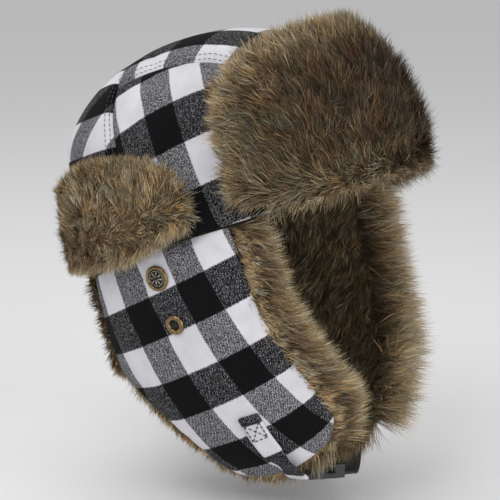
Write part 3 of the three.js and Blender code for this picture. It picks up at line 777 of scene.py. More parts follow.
def grow(root, up, comb, length, width, rng, rise, stray=0.22, clump=0.5):
    """Strand centre points at each level, and the direction that each strand is wide in."""
    n = len(root)
    length = (np.broadcast_to(length, n) * rng.uniform(0.65, 1.1, n))[:, None]
    rise = np.broadcast_to(rise, n)[:, None]
    picked = rng.choice(n, max(n // LOCK, 1), replace=False)
    tree = KDTree(len(picked))
    for k, index in enumerate(picked):
        tree.insert(root[index], k)
    tree.balance()
    near = picked[[tree.find(p)[1] for p in root.tolist()]]
    lock_bend = rng.normal(0, stray * 1.2, (n, 3))[near]
    first = unit(up * rise + comb * (1 - rise) + lock_bend * 0.4 + rng.normal(0, stray, (n, 3)))
    last = unit(first * 0.6 + comb * 0.8 + lock_bend + rng.normal(0, stray, (n, 3)))
    rungs = [root + length * (first * t + (last - first) * t * t / 2) for t in STRAND_LEVELS]
    pull = rungs[-1][near] - rungs[-1] + rng.normal(0, 1.0, (n, 3))
    share = clump * rng.uniform(0.3, 1.0, (n, 1))
    rungs = [p + pull * share * t ** 1.6 for p, t in zip(rungs, STRAND_LEVELS)]
    course = unit(rungs[-1] - rungs[0])
    wide = unit(np.cross(course, up + rng.normal(0, 0.05, (n, 3))))
    twist = rng.normal(0, 0.6, (n, 1))
    wide = wide * np.cos(twist) + np.cross(course, wide) * np.sin(twist)
    half = np.broadcast_to(width, n)[:, None] / 2 * rng.uniform(0.7, 1.3, (n, 1))
    return {"rungs": rungs, "wide": wide * half, "up": up, "course": course, "near": near}


def tints(n, near, zone, rng, dark_tips=0.2, light=1.0):
    """Colour of each strand at each level. zone: 0 tan, 1 olive, 2 rust, by strand."""
    zone = np.clip(zone + rng.normal(0, 0.35, n), 0, 2)[:, None]
    hue = np.where(zone < 1, TAN + (OLIVE - TAN) * zone, OLIVE + (RUST - OLIVE) * (zone - 1))
    lock_tone = rng.lognormal(0, 0.34, n)[near][:, None]
    # light scales each strand's brightness; on the visor and on the left flap's fringe it carries painted
    # light and shade.
    tone = lock_tone * rng.lognormal(0, 0.34, (n, 1)) * np.broadcast_to(light, n)[:, None]
    pale = hue + (PALE - hue) * rng.uniform(0.1, 0.75, (n, 1)) * (1 - 0.35 * np.clip(zone - 1, 0, 1))
    dark = rng.random((n, 1)) < dark_tips
    tip = np.where(dark, SOOT * 2, pale)
    root = SOOT + (hue - SOOT) * 0.12
    levels = [root, hue * 0.7 + tip * 0.08, tip]
    warmth = rng.normal(0, 0.1, n)[near][:, None] * point(1, 0, -1.4)
    return [np.clip(level * tone * (1 + warmth), 0.004, 0.85) for level in levels]


def strand_mesh(sets):
    """Vertices, triangles, normals and tints of all the strands."""
    vertices, faces, normals, colours, base = [], [], [], [], 0
    for grown, tint in sets:
        rungs, wide = grown["rungs"], grown["wide"]
        n = len(wide)
        half = wide * RIBBON_SHARE
        rows = [rungs[0] - half, rungs[0] + half, rungs[1] - half, rungs[1] + half, rungs[2]]
        block = np.stack(rows, 1)
        facing = unit(np.cross(unit(wide), grown["course"]))
        shade = unit(grown["up"] * 0.7 + facing * 0.45)
        shades = np.repeat(shade[:, None], 5, 1)
        swing = np.array([-0.35, 0.35, -0.35, 0.35, 0])[None, :, None]
        shades = unit(shades + swing * unit(wide)[:, None])
        tint_rows = np.stack([tint[0], tint[0], tint[1], tint[1], tint[2]], 1)
        start = base + 5 * np.arange(n)[:, None, None]
        pattern = np.array([[0, 1, 3], [0, 3, 2], [2, 3, 4]])
        vertices.append(block.reshape(-1, 3))
        faces.append((start + pattern[None]).reshape(-1, 3))
        normals.append(shades.reshape(-1, 3))
        colours.append(tint_rows.reshape(-1, 3))
        base += 5 * n
    return [np.vstack(x) for x in (vertices, faces, normals, colours)]


def fur_piece(name, pad, sets, pad_tint):
    """Joins a dense undercoat pad and its strands in one mesh."""
    v, f, normals, colours = strand_mesh(sets)
    pad_points = np.array([p.co for p in pad.data.vertices]) / MM
    pad_normals = np.array([p.normal for p in pad.data.vertices])
    count = len(pad_points)
    pad_faces = [tuple(p.vertices) for p in pad.data.polygons]
    faces = pad_faces + (f + count).tolist()
    all_points = np.vstack([pad_points, v])
    bpy.data.objects.remove(pad)
    made = mesh_object(name, all_points, faces, finish=FUR)
    tone = 1 + 0.35 * flow_noise(pad_points, 5.0, 3)[:, None]
    tint = np.vstack([pad_tint * tone, colours])
    layer = made.data.attributes.new("tint", "FLOAT_COLOR", "POINT")
    rgba = np.c_[np.clip(tint, 0, 1), np.ones(len(tint))].astype(np.float32)
    layer.data.foreach_set("color", rgba.ravel())
    made.data.normals_split_custom_set_from_vertices(np.vstack([pad_normals, normals]).tolist())
    return made


def to_hat(p):
    c, s = math.cos(PITCH), math.sin(PITCH)
    x, y, z = np.moveaxis(np.asarray(p, float), -1, 0)
    return np.stack([x, y * c - z * s, z * c + y * s], -1)


def arc_rise(x):
    """From 0 to 1 as x does, on a quarter circle."""
    return np.sqrt(np.clip(1 - (1 - np.clip(x, 0, 1)) ** 2, 0, 1))


def undercoat(name, grid, inner, outer, rounding=8.0, least=0.3):
    """The dense short fur and its backing: a pad that thins towards its edges."""
    d = np.clip(edge_distance(grid.points) / rounding, 0, 1)
    crown = least + (1 - least) * arc_rise(d)
    bumps = 0.5 * flow_noise(grid.points, 9.0, 5) * d
    inner = np.broadcast_to(inner, d.shape)
    outer = np.broadcast_to(outer, d.shape)
    top = grid.offset(inner + (outer - inner) * crown + bumps)
    return slab(name, top, grid.offset(inner), grid.check, FUR, swell=0.8)


# ---- visor and rear cuff ------------------------------------------------------------
def pad_grid(end, height, middle, across, up, corners=(0, 0), dip=0.0, foot=2.5):
    """Half-superellipse pad outside the crown: middle 1 at the front, -1 at the back.
    Its lower corners are cut up by corners, and the middle of its top edge dips."""
    swing = np.linspace(-1, 1, across + 1)
    swing = np.sign(swing) * np.abs(swing) ** 0.85 * end
    fall = (1 - np.clip(np.abs(swing / end), 0, 1) ** 4) ** 0.25
    base = headband(swing if middle > 0 else 180 - swing)
    t = ease(up)[:, None]
    low = foot + corners[0] * smooth(-swing / end, 0.7, 1.02)[None]
    low = low + corners[1] * smooth(swing / end, 0.7, 1.02)[None]
    dipped = height - dip * (1 - smooth(np.abs(swing / end), 0.25, 0.6))
    z = low + (2.5 + ((dipped - 2.5) * np.maximum(fall, 0.42))[None] - low) * t
    lean = (1 - np.clip(z / CROWN_HEIGHT, 0, 1) ** CROWN_PROFILE) ** (1 / CROWN_PROFILE)
    x = base[None, :, 0] * lean
    y = LENGTH_SHIFT + (base[None, :, 1] - LENGTH_SHIFT) * lean
    points = on_skin(CROWN, np.stack([x, y, z], -1))
    grid = Grid(points, skin_normal(CROWN, points))
    flat = arcs(points, (0, across // 2))
    grid.check = flat / CELL + 0.3
    return grid


def backings(pad, grid, lift, levels, body, blend):
    """The flannel and the felt behind a fur pad, each between its two levels above lift."""
    looks = ("flannel", "backing", FLANNEL, "check_flannel"), ("felt", "stiffener", FELT, "wadding")
    for (cloth, node, finish, slot), (low, high) in zip(looks, levels):
        made = slab(f"{pad}_{cloth}", grid.offset(lift + high), grid.offset(lift + low), grid.check,
                    finish, swell=0.3)
        place(made, body, [f"{pad}_{node}"], blend)


def shoulder(s, t, tall, wide, radius):
    """0 at a pad's rim, rising to 1 at radius millimetres in from it."""
    near_edge = np.minimum(np.minimum(t, 1 - t) * tall, (1 - np.abs(s)) * wide)
    return arc_rise(near_edge / radius)


def visor_lean(z):
    """How much further the visor stands off the crown at a height than at the headband."""
    return VISOR_LEAN * z / VISOR_HEIGHT


def border_roots(grid, low, high, per_mm, rng, sides="low end high start"):
    """Roots spread over a pad's rim: points, normals, outward, run, and share of the side."""
    p, n = grid.points, grid.normals
    lines = {"low": (p[0], p[1], n[0]), "end": (p[:, -1], p[:, -2], n[:, -1]),
             "high": (p[-1], p[-2], n[-1]), "start": (p[:, 0], p[:, 1], n[:, 0])}
    parts = []
    for side in sides.split():
        rim, within, normal = lines[side]
        length = np.linalg.norm(np.diff(rim, axis=0), axis=1).sum()
        count = int(length * per_mm)
        t = rng.random(count)
        at, inside, up = by_length(rim)(t), by_length(within, rim)(t), by_length(normal, rim)(t)
        away = unit(at - inside)
        run = unit(by_length(rim)(np.clip(t + 0.01, 0, 1)) - by_length(rim)(np.clip(t - 0.01, 0, 1)))
        depth = rng.uniform(low, high, count)[:, None]
        parts.append((at + unit(up) * depth - away * 0.6, unit(up), away, run, t[:, None]))
    return [np.vstack(x) for x in zip(*parts)]


def build_visor():
    grid = pad_grid(VISOR_END, VISOR_HEIGHT, 1, 64, 26, (10, 0))
    lift = visor_lean(grid.points[..., 2])
    whole = grid.turned()
    behind = pad_grid(VISOR_END - 1, VISOR_HEIGHT, 1, 64, 26, (10, 2), foot=7)
    backings("visor", behind.turned(), visor_lean(behind.points[..., 2]), ((1.5, 3), (3.3, 4.2)),
             "visor", VISOR_BLEND)
    pad = undercoat("visor_pad", whole, lift + 4.5, lift + 14.5, rounding=22)
    rng = np.random.default_rng(SEED)
    field = scatter(whole, 0, 2.2, rng)
    s, t = field["s"] * 2 - 1, field["t"]
    z = to_hat(field["root"])[:, 2]
    crown = shoulder(s, t, 80, 105, 22)
    root = field["root"] + field["up"] * (visor_lean(z) + 4.5 + 9.2 * crown)[:, None]
    swirl = flow_noise(root, 40.0, 11)[:, None]
    upward = -0.7 + 1.7 * smooth(t, -0.05, 0.3)
    comb = field["along"] * upward[:, None] + field["across"] * (0.3 * s - 0.5)[:, None]
    comb = unit(comb + field["across"] * swirl * 0.3 + field["along"] * swirl * 0.15)
    rise = 0.5 - 0.12 * np.clip(np.abs(s), 0, 1)
    grown = grow(root, field["up"], comb, 19, STRAND_WIDTH, rng, rise=rise, stray=0.27, clump=0.45)
    centre = np.exp(-((s + 0.2) / 0.6) ** 4 - ((t - 0.5) / 0.34) ** 4)
    patch = flow_noise(root, 16.0, 12)
    zone = 0.45 + 0.4 * smooth(-t, -0.4, -0.1) + 1.5 * centre + 0.6 * patch
    # Painted light: the visor's fur is made lighter towards its top, as lit from above. It is darker in
    # the middle, partly the fur's own darker middle and partly painted shade.
    light = (1.08 - 0.55 * centre + 0.5 * smooth(t, 0.7, 1)) * (1 + 0.15 * patch)
    sets = [(grown, tints(len(root), grown["near"], zone, rng, 0.3, light))]
    rims = ("low", 10, 1.6), ("end", 13, 0.35), ("high", 16, 0.35), ("start", 12, 0.35)
    for side, length, flare in rims:
        edge, up, away, run, share = border_roots(whole, 5.5, 11.5, 27, rng, side)
        edge = edge + up * visor_lean(to_hat(edge)[:, 2:])
        reach, flare = length, np.full(len(edge), flare)
        if side == "low":
            hang = smooth(share[:, 0], 0.7, 0.94)
            reach, flare = length + 17 * hang, flare * (1 - 0.6 * hang)
        comb = unit(away + up * flare[:, None] + 0.25 * run * rng.normal(0, 1, (len(edge), 1)))
        rim = grow(edge, up, comb, reach, STRAND_WIDTH, rng, rise=0.3, stray=0.25, clump=0.4)
        zone = 0.5 + 0.6 * (side == "low") + 0.3 * flow_noise(edge, 30.0, 13)
        sets.append((rim, tints(len(edge), rim["near"], zone, rng, 0.2)))
    fur = fur_piece("visor_fur_pile", pad, sets, OLIVE * 0.28)
    place(fur, "visor", ["visor_fur"], VISOR_BLEND)


def build_rear_cuff():
    grid = pad_grid(CUFF_END, CUFF_HEIGHT, -1, 90, 16, (10, 10), 11)
    z = grid.points[..., 2]
    whole = grid.turned()
    behind = pad_grid(CUFF_END - 1, CUFF_HEIGHT - 1, -1, 90, 16, (10, 10), 11, foot=6).turned()
    backings("cuff", behind, 0, ((1.2, 2.7), (3.0, 3.7)), "rear_cuff", CUFF_BLEND)
    pile = 4 + CUFF_PILE * (1 - 0.6 * z / CUFF_HEIGHT)
    pad = undercoat("cuff_pad", whole, 4.0, pile - 1.5, rounding=12)
    rng = np.random.default_rng(SEED + 1)
    field = scatter(whole, 0, 2.0, rng)
    s, t = field["s"] * 2 - 1, field["t"]
    crown = shoulder(s, t, 52, 160, 12)
    root = field["root"] + field["up"] * (4.0 + (5.2 - 3 * t) * crown)[:, None]
    swirl = flow_noise(root, 34.0, 21)[:, None]
    upward = -1 + 2 * smooth(t, 0.0, 0.6)
    comb = field["along"] * upward[:, None] + field["across"] * (0.5 * np.sign(s) + 0.3 * s)[:, None]
    comb = unit(comb + field["across"] * swirl * 0.4 + field["along"] * swirl * 0.25)
    reach = 10.5 + 4 * smooth(np.abs(s), 0.3, 0.6)
    grown = grow(root, field["up"], comb, reach, STRAND_WIDTH, rng, rise=0.34, stray=0.27)
    patch = flow_noise(root, 18.0, 22)
    zone = 0.2 + 0.9 * smooth(np.abs(s), 0.5, 0.95) + 0.8 * patch
    sets = [(grown, tints(len(root), grown["near"], zone, rng, 0.12, 1.4 + 0.5 * patch))]
    edge, up, away, run, _ = border_roots(whole, 4.2, 8.0, 22, rng, "end high start")
    comb = unit(away + 0.2 * up + 0.3 * run * rng.normal(0, 1, (len(edge), 1)))
    rim = grow(edge, up, comb, 11, STRAND_WIDTH, rng, rise=0.3, stray=0.27, clump=0.4)
    sets.append((rim, tints(len(edge), rim["near"], np.full(len(edge), 0.5), rng, 0.15)))
    foot, up, away, run, share = border_roots(whole, 4.2, 9.0, 28, rng, "low")
    comb = unit(0.3 * run * rng.normal(0, 1, (len(foot), 1)) + away + up * 0.35)
    reach = 9 + 5 * smooth(np.abs(share[:, 0] * 2 - 1), 0.3, 0.6)
    low = grow(foot, unit(up + away * 0.8), comb, reach, STRAND_WIDTH, rng, rise=0.4, clump=0.4)
    sets.append((low, tints(len(foot), low["near"], np.full(len(foot), 0.4), rng, 0.15, 1.3)))
    fur = fur_piece("rear_cuff_pile", pad, sets, TAN * 0.32)
    place(fur, "rear_cuff", ["cuff_fur"], CUFF_BLEND)


# ---- ear flaps and neck curtain -----------------------------------------------------
SLIT_FOOT = point(-60, 66, -103)
CAP_AT, EYELET_AT = point(-92, 14, -25), point(-90, 3, -54)


def flap_edges(i, ahead=0):
    """The right flap's four edges, taken in by i, with the front edge moved ahead."""
    slit = max(i, -3)
    foot = SLIT_FOOT + point(-0.4 * slit, -0.7 * slit, slit)
    front = i - ahead
    front_foot = point(-30, -79 + front, -136 + i)
    low = spline(foot, point(-66, 27 - i / 2, -126 + i), point(-59, 3, -148 + i),
                 point(-41, -16, -166 + i), point(-40, -44, -161 + i), point(-37, -64, -150 + i),
                 front_foot)
    front_angle = FLAP_FRONT - 0.6 * i + 0.3 * ahead
    front_top = below_band(front_angle)
    rear_angle = FLAP_REAR + 0.6 * max(i, 0)
    rear_top = below_band(rear_angle)
    end = spline(front_foot, point(-35, -82 + front, -118), point(-56, -74 + front, -91),
                 point(-69, -64 + front, -70), point(-81, -50 + front, -40),
                 point(-86, -41 + i - ahead / 2, -9), front_top)

    def high(s):
        s = np.asarray(s)
        return below_band(rear_angle * (1 - s) + front_angle * s)
    return low, high, line(foot, rear_top), end


def flap_grid(inset=0, ahead=0, flare=0):
    """The right flap; flare rolls its front margin outward."""
    grid = panel(FLAP, *flap_edges(inset, ahead), 46, 52)
    share = smooth(np.linspace(0, 1, 47), 0.82, 1)[None, :, None]
    grid.points += grid.normals * flare * share
    flat = spread(grid, FLAP, point(-86.7, -12.9, -69.1), point(0, -1, 0))
    grid.check = checks(flat, 27.9, (0.694, 1.593), FLAP_CELL, 0.00006)
    return grid


def curtain_edges(inset):
    x, y, z = SLIT_FOOT
    low = spline(point(-x - 1 - inset, y + 1 + inset, z), point(32, 94, z + 3),
                 point(0, 100, z + 5), point(-32, 94, z + 3), point(x + 1 + inset, y + 1 + inset, z))

    def high(s):
        edge = CURTAIN_EDGE + inset
        return below_band(edge + (360 - 2 * edge) * np.asarray(s))
    ends = low(np.array([0.0, 1.0]))
    tops = high(np.array([0.0, 1.0]))
    return low, high, line(ends[0], tops[0]), line(ends[1], tops[1])


def inside_fur(name, grid, body, node, blend, rng, fringe, seed, bright=1.5):
    """Fur on the inside of a flap: pressed pile within, and a fringe past the fabric's edge."""
    wad = SHELL + 1.5 * GAP + WADDING + 2 * GAP
    first = wad if blend else SHELL + GAP
    pad = undercoat(name + "_pad", grid, -first, -first - 6, rounding=7, least=0.45)
    field = scatter(grid, -first - 5, 0.95, rng)
    swirl = flow_noise(field["root"], 36.0, seed)[:, None]
    comb = unit(-field["along"] + 0.35 * field["across"] + field["across"] * swirl * 0.7)
    grown = grow(field["root"], -field["up"], comb, 14, PRESSED_WIDTH, rng, rise=0.3)
    zone = 0.75 + 0.5 * flow_noise(field["root"], 45.0, seed + 1)
    sets = [(grown, tints(len(comb), grown["near"], zone, rng, 0.12))]
    for sides, length, shrink, density, (onward, flare, drop), tone in fringe:
        edge, up, away, run, share = border_roots(grid, -first - 6.5, -first + 3.2, density, rng, sides)
        swirl = flow_noise(edge, 30.0, seed + 2)[:, None]
        comb = away * onward + run * (drop + 0.3 * swirl) + up * flare
        comb = unit(comb + rng.normal(0, 0.16, comb.shape))
        reach = length - shrink * share[:, 0] ** 2
        rim = grow(edge, unit(away + 0.15 * up), comb, reach, FRINGE_WIDTH, rng, rise=0.5,
                   stray=0.25, clump=0.45)
        rim["up"] = unit(up * 0.8 + away * 0.6)
        patch = flow_noise(edge, 22.0, seed + 3)
        # bright scales the fringe's brightness; the left flap's lower value is painted shade.
        light = bright + 0.25 * patch
        sets.append((rim, tints(len(edge), rim["near"], tone + 0.5 * patch, rng, 0.12, light)))
    # Strands rooted inside the edge cover the pad's rim along the first two sides.
    for sides, *_, (onward, _, drop), tone in fringe[:2]:
        edge, up, away, run, _ = border_roots(grid, -first - 0.6, -first + 0.8, 24, rng, sides)
        edge = edge - away * rng.uniform(0, 9, (len(edge), 1))
        comb = unit(away * onward + run * drop + up * 0.15)
        over = grow(edge, up, comb, 13, FRINGE_WIDTH, rng, rise=0.3, stray=0.25, clump=0.45)
        patch = flow_noise(edge, 22.0, seed + 3)
        sets.append((over, tints(len(edge), over["near"], tone + 0.5 * patch, rng, 0.1, 1.3)))
    fur = fur_piece(name, pad, sets, OLIVE * 0.35)
    place(fur, body, [node], blend)


def flap_fringe(front, rear, length, flare, foot):
    """Fringes: side, length, shorter by at its end, roots per mm, directions and tone."""
    return [(front, length, 4, 58, (1.0, flare, -0.45), 0.4), ("low", *foot, 50, (1.0, 0.4, 0.1), 0.0),
            (rear, 8, 0, 20, (0.6, 0.2, -0.4), 0.3)]


def build_flaps():
    right = flap_grid()
    middle = np.linalg.norm(right.points - over_skin(FLAP, CAP_AT, 0), axis=-1) < 7
    middle |= np.linalg.norm(right.points - over_skin(FLAP, EYELET_AT, 0), axis=-1) < 6
    soft = settle(right, 3.0, 0.010, 2.2, middle)
    fabric("ear_flap_flannel_right", soft, "ear_flap_right", "flap_shell_right", blend=FLAP_BLEND)
    fabric("ear_flap_flannel_left", soft.mirrored(), "ear_flap_left", "flap_shell_left",
           blend=FLAP_BLEND)
    inside_fur("ear_flap_pile_right", flap_grid(-10, -3, 3), "ear_flap_right", "flap_fur_right",
               FLAP_BLEND, np.random.default_rng(SEED + 2),
               flap_fringe("end", "start", 27, 0.2, (8, -11)), 31)
    # The left flap's fringe gets 1.2 where the right flap's gets 1.5: painted shade on the far flap.
    inside_fur("ear_flap_pile_left", flap_grid(-10, -1, 8).mirrored(), "ear_flap_left",
               "flap_fur_left", FLAP_BLEND, np.random.default_rng(SEED + 3),
               flap_fringe("start", "end", 36, 1.2, (28, 20)), 31, 1.2)


def build_curtain():
    grid = panel(FLAP, *curtain_edges(0), 40, 26)
    flat = arcs(grid.points, (grid.points.shape[0] - 1, grid.points.shape[1] // 2))
    grid.check = shifted(flat, 5, 17)
    soft = settle(grid, 3.0, 0.010, 2.0)
    fabric("neck_curtain_flannel", soft, "crown", "neck_curtain_shell")
    rng = np.random.default_rng(SEED + 4)
    inside_fur("neck_curtain_pile", grid, "crown", "neck_curtain_fur", None, rng,
               [("low", 11, 0, 30, (1.0, 0.2, 0.1), 0.1), ("start end", 6, 0, 16, (0.6, 0.2, 0), 0.3)],
               41)


# ---- press studs, straps and buckle -------------------------------------------------
def skin_matrix(p):
    """Where a stud sits on the flap: its own z points out."""
    q = on_skin(FLAP, p)
    n = skin_normal(FLAP, q)
    across = unit(np.cross(point(0, 0, 1), n))
    return q, np.stack([across, np.cross(n, across), n], -1)


def lathe(name, profile, at, finish, around=48, relief=None):
    """Turns a closed profile of (radius, height) round a stud's own z."""
    profile = np.array(profile, float)
    a = np.linspace(0, 2 * np.pi, around, endpoint=False)
    r, z = profile[:, 0][:, None], profile[:, 1][:, None]
    z = z + 0 * a[None]
    if relief:
        z = z + relief(r, a[None])
    local = np.stack([r * np.cos(a), r * np.sin(a), z], -1)
    q, turn = at
    faces = grid_quads(len(profile), around, wrap=True)
    made = mesh_object(name, (local @ turn.T + q).reshape(-1, 3), faces, finish=finish)
    if relief:
        raised = relief(r, a[None]) + 0 * z
        hollow = made.data.attributes.new("hollow", "FLOAT", "POINT")
        hollow.data.foreach_set("value", (1 - smooth(raised, 0.08, 0.3)).ravel().astype(np.float32))
    outward(made)
    return made


def rounded(points):
    """Softens a profile's corners by cutting each one twice."""
    p = np.array(points, float)
    for _ in range(2):
        a, b = p[:-1], p[1:]
        cut = np.stack([a * 0.75 + b * 0.25, a * 0.25 + b * 0.75], 1).reshape(-1, 2)
        p = np.vstack([p[:1], cut, p[-1:]])
    return p


def petals(r, a):
    """A raised eight-petal rosette with a beaded ring, for the cap's face."""
    reach = np.clip(r / 5.6, 0, 1)
    petal = np.cos(4 * a) ** 4 * np.sin(np.pi * np.clip(reach * 1.2, 0, 1)) * 0.6
    ring = 0.3 * np.exp(-((r - 5.0) / 0.4) ** 2) * (1 + np.cos(22 * a))
    return np.where(r < 5.7, petal + ring, 0)


def build_studs():
    flip = point(-1, 1, 1)
    for side, body in (("right", "ear_flap_right"), ("left", "ear_flap_left")):
        spots = [skin_matrix(CAP_AT), skin_matrix(EYELET_AT)]
        if side == "left":
            spots = [(q * flip, turn * flip[:, None]) for q, turn in spots]
        cap_at, eyelet_at = spots
        cap, eye = CAP_RADIUS, EYELET_RADIUS
        rim = rounded([(5.9, 0.3), (cap - 0.3, 0.3), (cap, 1.0), (cap - 0.4, 1.9), (7.0, 2.3),
                       (6.2, 2.0), (5.8, 1.2), (5.9, 0.3)])
        made = lathe(f"stud_cap_rim_{side}", rim, cap_at, BRASS)
        place(made, body, [f"press_stud_cap_{side}"])
        radii = np.r_[np.linspace(0.01, 5.85, 30), 5.9, 5.9, 1.9, 1.9, 0.01]
        heights = np.r_[1.75 - 0.4 * (np.linspace(0, 1, 30)) ** 2, 1.2, 0.35, 0.35, -2.5, -2.5]
        face = lathe(f"stud_cap_face_{side}", np.c_[radii, heights], cap_at, NICKEL, 144,
                     lambda q, a: petals(q, a) * (q < 5.8))
        place(face, body)
        ring = rounded([(EYELET_BORE, 0.5), (eye - 0.6, 0.3), (eye, 0.9), (eye - 0.5, 1.8),
                        (5.0, 2.4), (3.8, 2.1), (EYELET_BORE, 1.2), (EYELET_BORE, 0.5)])
        made = lathe(f"eyelet_ring_{side}", ring, eyelet_at, BRASS)
        place(made, body, [f"eyelet_stud_{side}"])
        well = [(0.01, 0.5), (EYELET_BORE + 0.2, 0.6), (EYELET_BORE + 0.2, 0.2), (2.9, -2.6), (0.01, -2.6)]
        made = lathe(f"eyelet_well_{side}", well, eyelet_at, DARK)
        place(made, body)


def stitches(name, lines, body, finish, length=2.6, gap=1.1, thick=0.5):
    """Rows of raised stitches. lines: (points, normals) that each row follows."""
    vertices, faces = [], []
    ring = np.linspace(0, 2 * np.pi, 6, endpoint=False)
    shares = ((0.0, 0.15), (0.15, 0.8), (0.5, 1.0), (0.85, 0.8), (1.0, 0.15))
    for path, normals in lines:
        total = np.linalg.norm(np.diff(path, axis=0), axis=1).sum()
        count = max(int(total / (length + gap)), 1)
        along, upward = by_length(path), by_length(normals, path)
        for k in range(count):
            t0 = k / count
            t1 = t0 + length / total
            a, b, n = along(min(t0, 1)), along(min(t1, 1)), unit(upward(min(t0, 1)))
            course = unit(b - a)
            side = unit(np.cross(course, n))
            base = len(vertices)
            for share, fat in shares:
                middle = a + (b - a) * share + n * (0.12 * math.sin(math.pi * share))
                for angle in ring:
                    spoke = side * math.cos(angle) + n * math.sin(angle) * 0.7
                    vertices.append(middle + spoke * thick / 2 * fat)
            for r in range(len(shares) - 1):
                for c in range(6):
                    p, q = base + r * 6 + c, base + r * 6 + (c + 1) % 6
                    faces.append((p, p + 6, q + 6, q))
            faces.append(tuple(base + c for c in range(6)))
            faces.append(tuple(base + 24 + c for c in range(5, -1, -1)))
    made = mesh_object(name, vertices, faces, finish=finish)
    outward(made)
    place(made, body)


def row_near(grid, side, inset):
    """A line that runs inset millimetres in from a grid's edge, with its normals."""
    p, n = grid.points, grid.normals
    if side in ("start", "end"):
        p, n = p.swapaxes(0, 1), n.swapaxes(0, 1)
    if side in ("high", "end"):
        p, n = p[::-1], n[::-1]
    depth = np.cumsum(np.linalg.norm(np.diff(p, axis=0), axis=2), 0)
    depth = np.vstack([np.zeros((1, p.shape[1])), depth])
    path, normals = [], []
    for c in range(p.shape[1]):
        path.append([np.interp(inset, depth[:, c], p[:, c, k]) for k in range(3)])
        normals.append([np.interp(inset, depth[:, c], n[:, c, k]) for k in range(3)])
    path, normals = np.array(path), unit(np.array(normals))
    return path + normals * (seam_roll(inset) + 0.1), normals


def build_crown_stitches():
    strip, back = crown_panels["top_strip"].turned(), crown_panels["back_panel"].turned()
    lines = [row_near(grid, side, inset) for grid in (strip, back) for side in ("start", "end")
             for inset in (2.2, 6.4)]
    lines += [row_near(strip, "high", 2.2)]
    stitches("crown_topstitching", lines, "crown", THREAD)


# The buckle's own frame: x along the strap, z outward, as the CAD pieces lie.
BUCKLE_AT = point(-17, -58, -163.5)
BUCKLE_ALONG = unit(point(0.965, -0.07, -0.252))
BUCKLE_HINT = point(0.16, -0.1, -1)
BUCKLE_OUT = unit(BUCKLE_HINT - BUCKLE_ALONG * dot(BUCKLE_HINT, BUCKLE_ALONG))
BUCKLE_TURN = np.stack([BUCKLE_ALONG, np.cross(BUCKLE_OUT, BUCKLE_ALONG), BUCKLE_OUT], -1)


def in_buckle(x, y, z):
    return BUCKLE_TURN @ point(x, y, z) + BUCKLE_AT


def strap_grid(route, outward_of, width, steps, across=8):
    t = np.linspace(0, 1, steps + 1)
    path = spline(*route)
    p = path(t)
    along = unit(path(np.clip(t + 0.004, 0, 1)) - path(np.clip(t - 0.004, 0, 1)))
    up = outward_of(p, t)
    wide = unit(np.cross(up, along))
    lift = unit(np.cross(along, wide))
    u = np.linspace(-0.5, 0.5, across + 1)
    points = p[:, None] + wide[:, None] * (u * width)[None, :, None]
    return Grid(points, np.repeat(lift[:, None], across + 1, 1))


def build_chin_tab():
    route = [over_skin(FLAP, point(-70, -38, -112), 2), over_skin(FLAP, point(-63, -43, -127), 2),
             over_skin(FLAP, point(-53, -50, -142), 4), over_skin(FLAP, point(-44, -55, -152), 4.2),
             in_buckle(-19, 0, 3.6), in_buckle(-15.5, 0, 3), in_buckle(-11.5, 0, 0)]

    def outward_of(p, t):
        share = smooth(t, 0.35, 0.65)[:, None]
        return skin_normal(FLAP, on_skin(FLAP, p)) * (1 - share) + BUCKLE_OUT * share
    grid = strap_grid(route, outward_of, TAB_WIDTH, 44)
    grid.check = shifted(arcs(grid.points, (0, 4)), 7, 20)
    d = edge_distance(grid.points)
    dip = -0.5 * np.exp(-(d / 1.2) ** 2)
    made = slab("chin_tab_flannel", grid.offset(TAB_THICK / 2 + dip), grid.offset(-TAB_THICK / 2),
                grid.check, FLANNEL, swell=0.5)
    place(made, "ear_flap_right", ["chin_tab_right"])
    box_at = np.array([[0.06, -0.38], [0.06, 0.38], [0.26, 0.38], [0.26, -0.38]])
    spots = [tab_point(grid, *q) for q in box_at]
    pairs = [(0, 1), (1, 2), (2, 3), (3, 0), (0, 2), (1, 3)]
    lines = [(np.array([spots[a][0], spots[b][0]]), np.array([spots[a][1], spots[b][1]]))
             for a, b in pairs]
    stitches("chin_tab_box_stitch", lines, "ear_flap_right", BLACK_THREAD, 2.6, 0.3, 0.85)


def tab_point(grid, t, u):
    r = int(round(t * (grid.points.shape[0] - 1)))
    c = (u + 0.5) * (grid.points.shape[1] - 1)
    lo, share = int(c), c - int(c)
    p = grid.points[r, lo] * (1 - share) + grid.points[r, lo + 1] * share
    n = grid.normals[r, lo]
    return p + n * (TAB_THICK / 2 + 0.12), n


def build_webbing():
    start = SOCKET_LENGTH / 2 + 1
    straight = start + PLUG_BASE + TRAVEL
    route = [in_buckle(start, 0, 2.7), in_buckle(start + 12, 0, 2.7), in_buckle(straight, 0, 2.7),
             in_buckle(straight + 3, 0, 2.7), over_skin(FLAP, point(58, -48, -134), 4.5),
             over_skin(FLAP, point(66, -42, -121), 2.4), over_skin(FLAP, point(72, -38, -108), 1.5)]

    def outward_of(p, t):
        share = smooth(t, 0.5, 0.75)[:, None]
        return BUCKLE_OUT * (1 - share) + skin_normal(FLAP, on_skin(FLAP, p)) * share
    grid = strap_grid(route, outward_of, WEBBING_WIDTH, 110, 16)
    flat = arcs(grid.points, (0, 8))
    grid.check = np.stack([flat[..., 0] / 2.4, flat[..., 1] / 1.5], -1)
    rib = 0.1 * np.cos(2 * np.pi * flat[..., 0] / 4.8)
    made = slab("chin_webbing_strap", grid.offset(WEBBING_THICK / 2 - 0.1 + rib),
                grid.offset(-WEBBING_THICK / 2 + 0.1), grid.check, WEBBING, swell=0.3)
    place(made, "ear_flap_left", ["chin_webbing_left"])


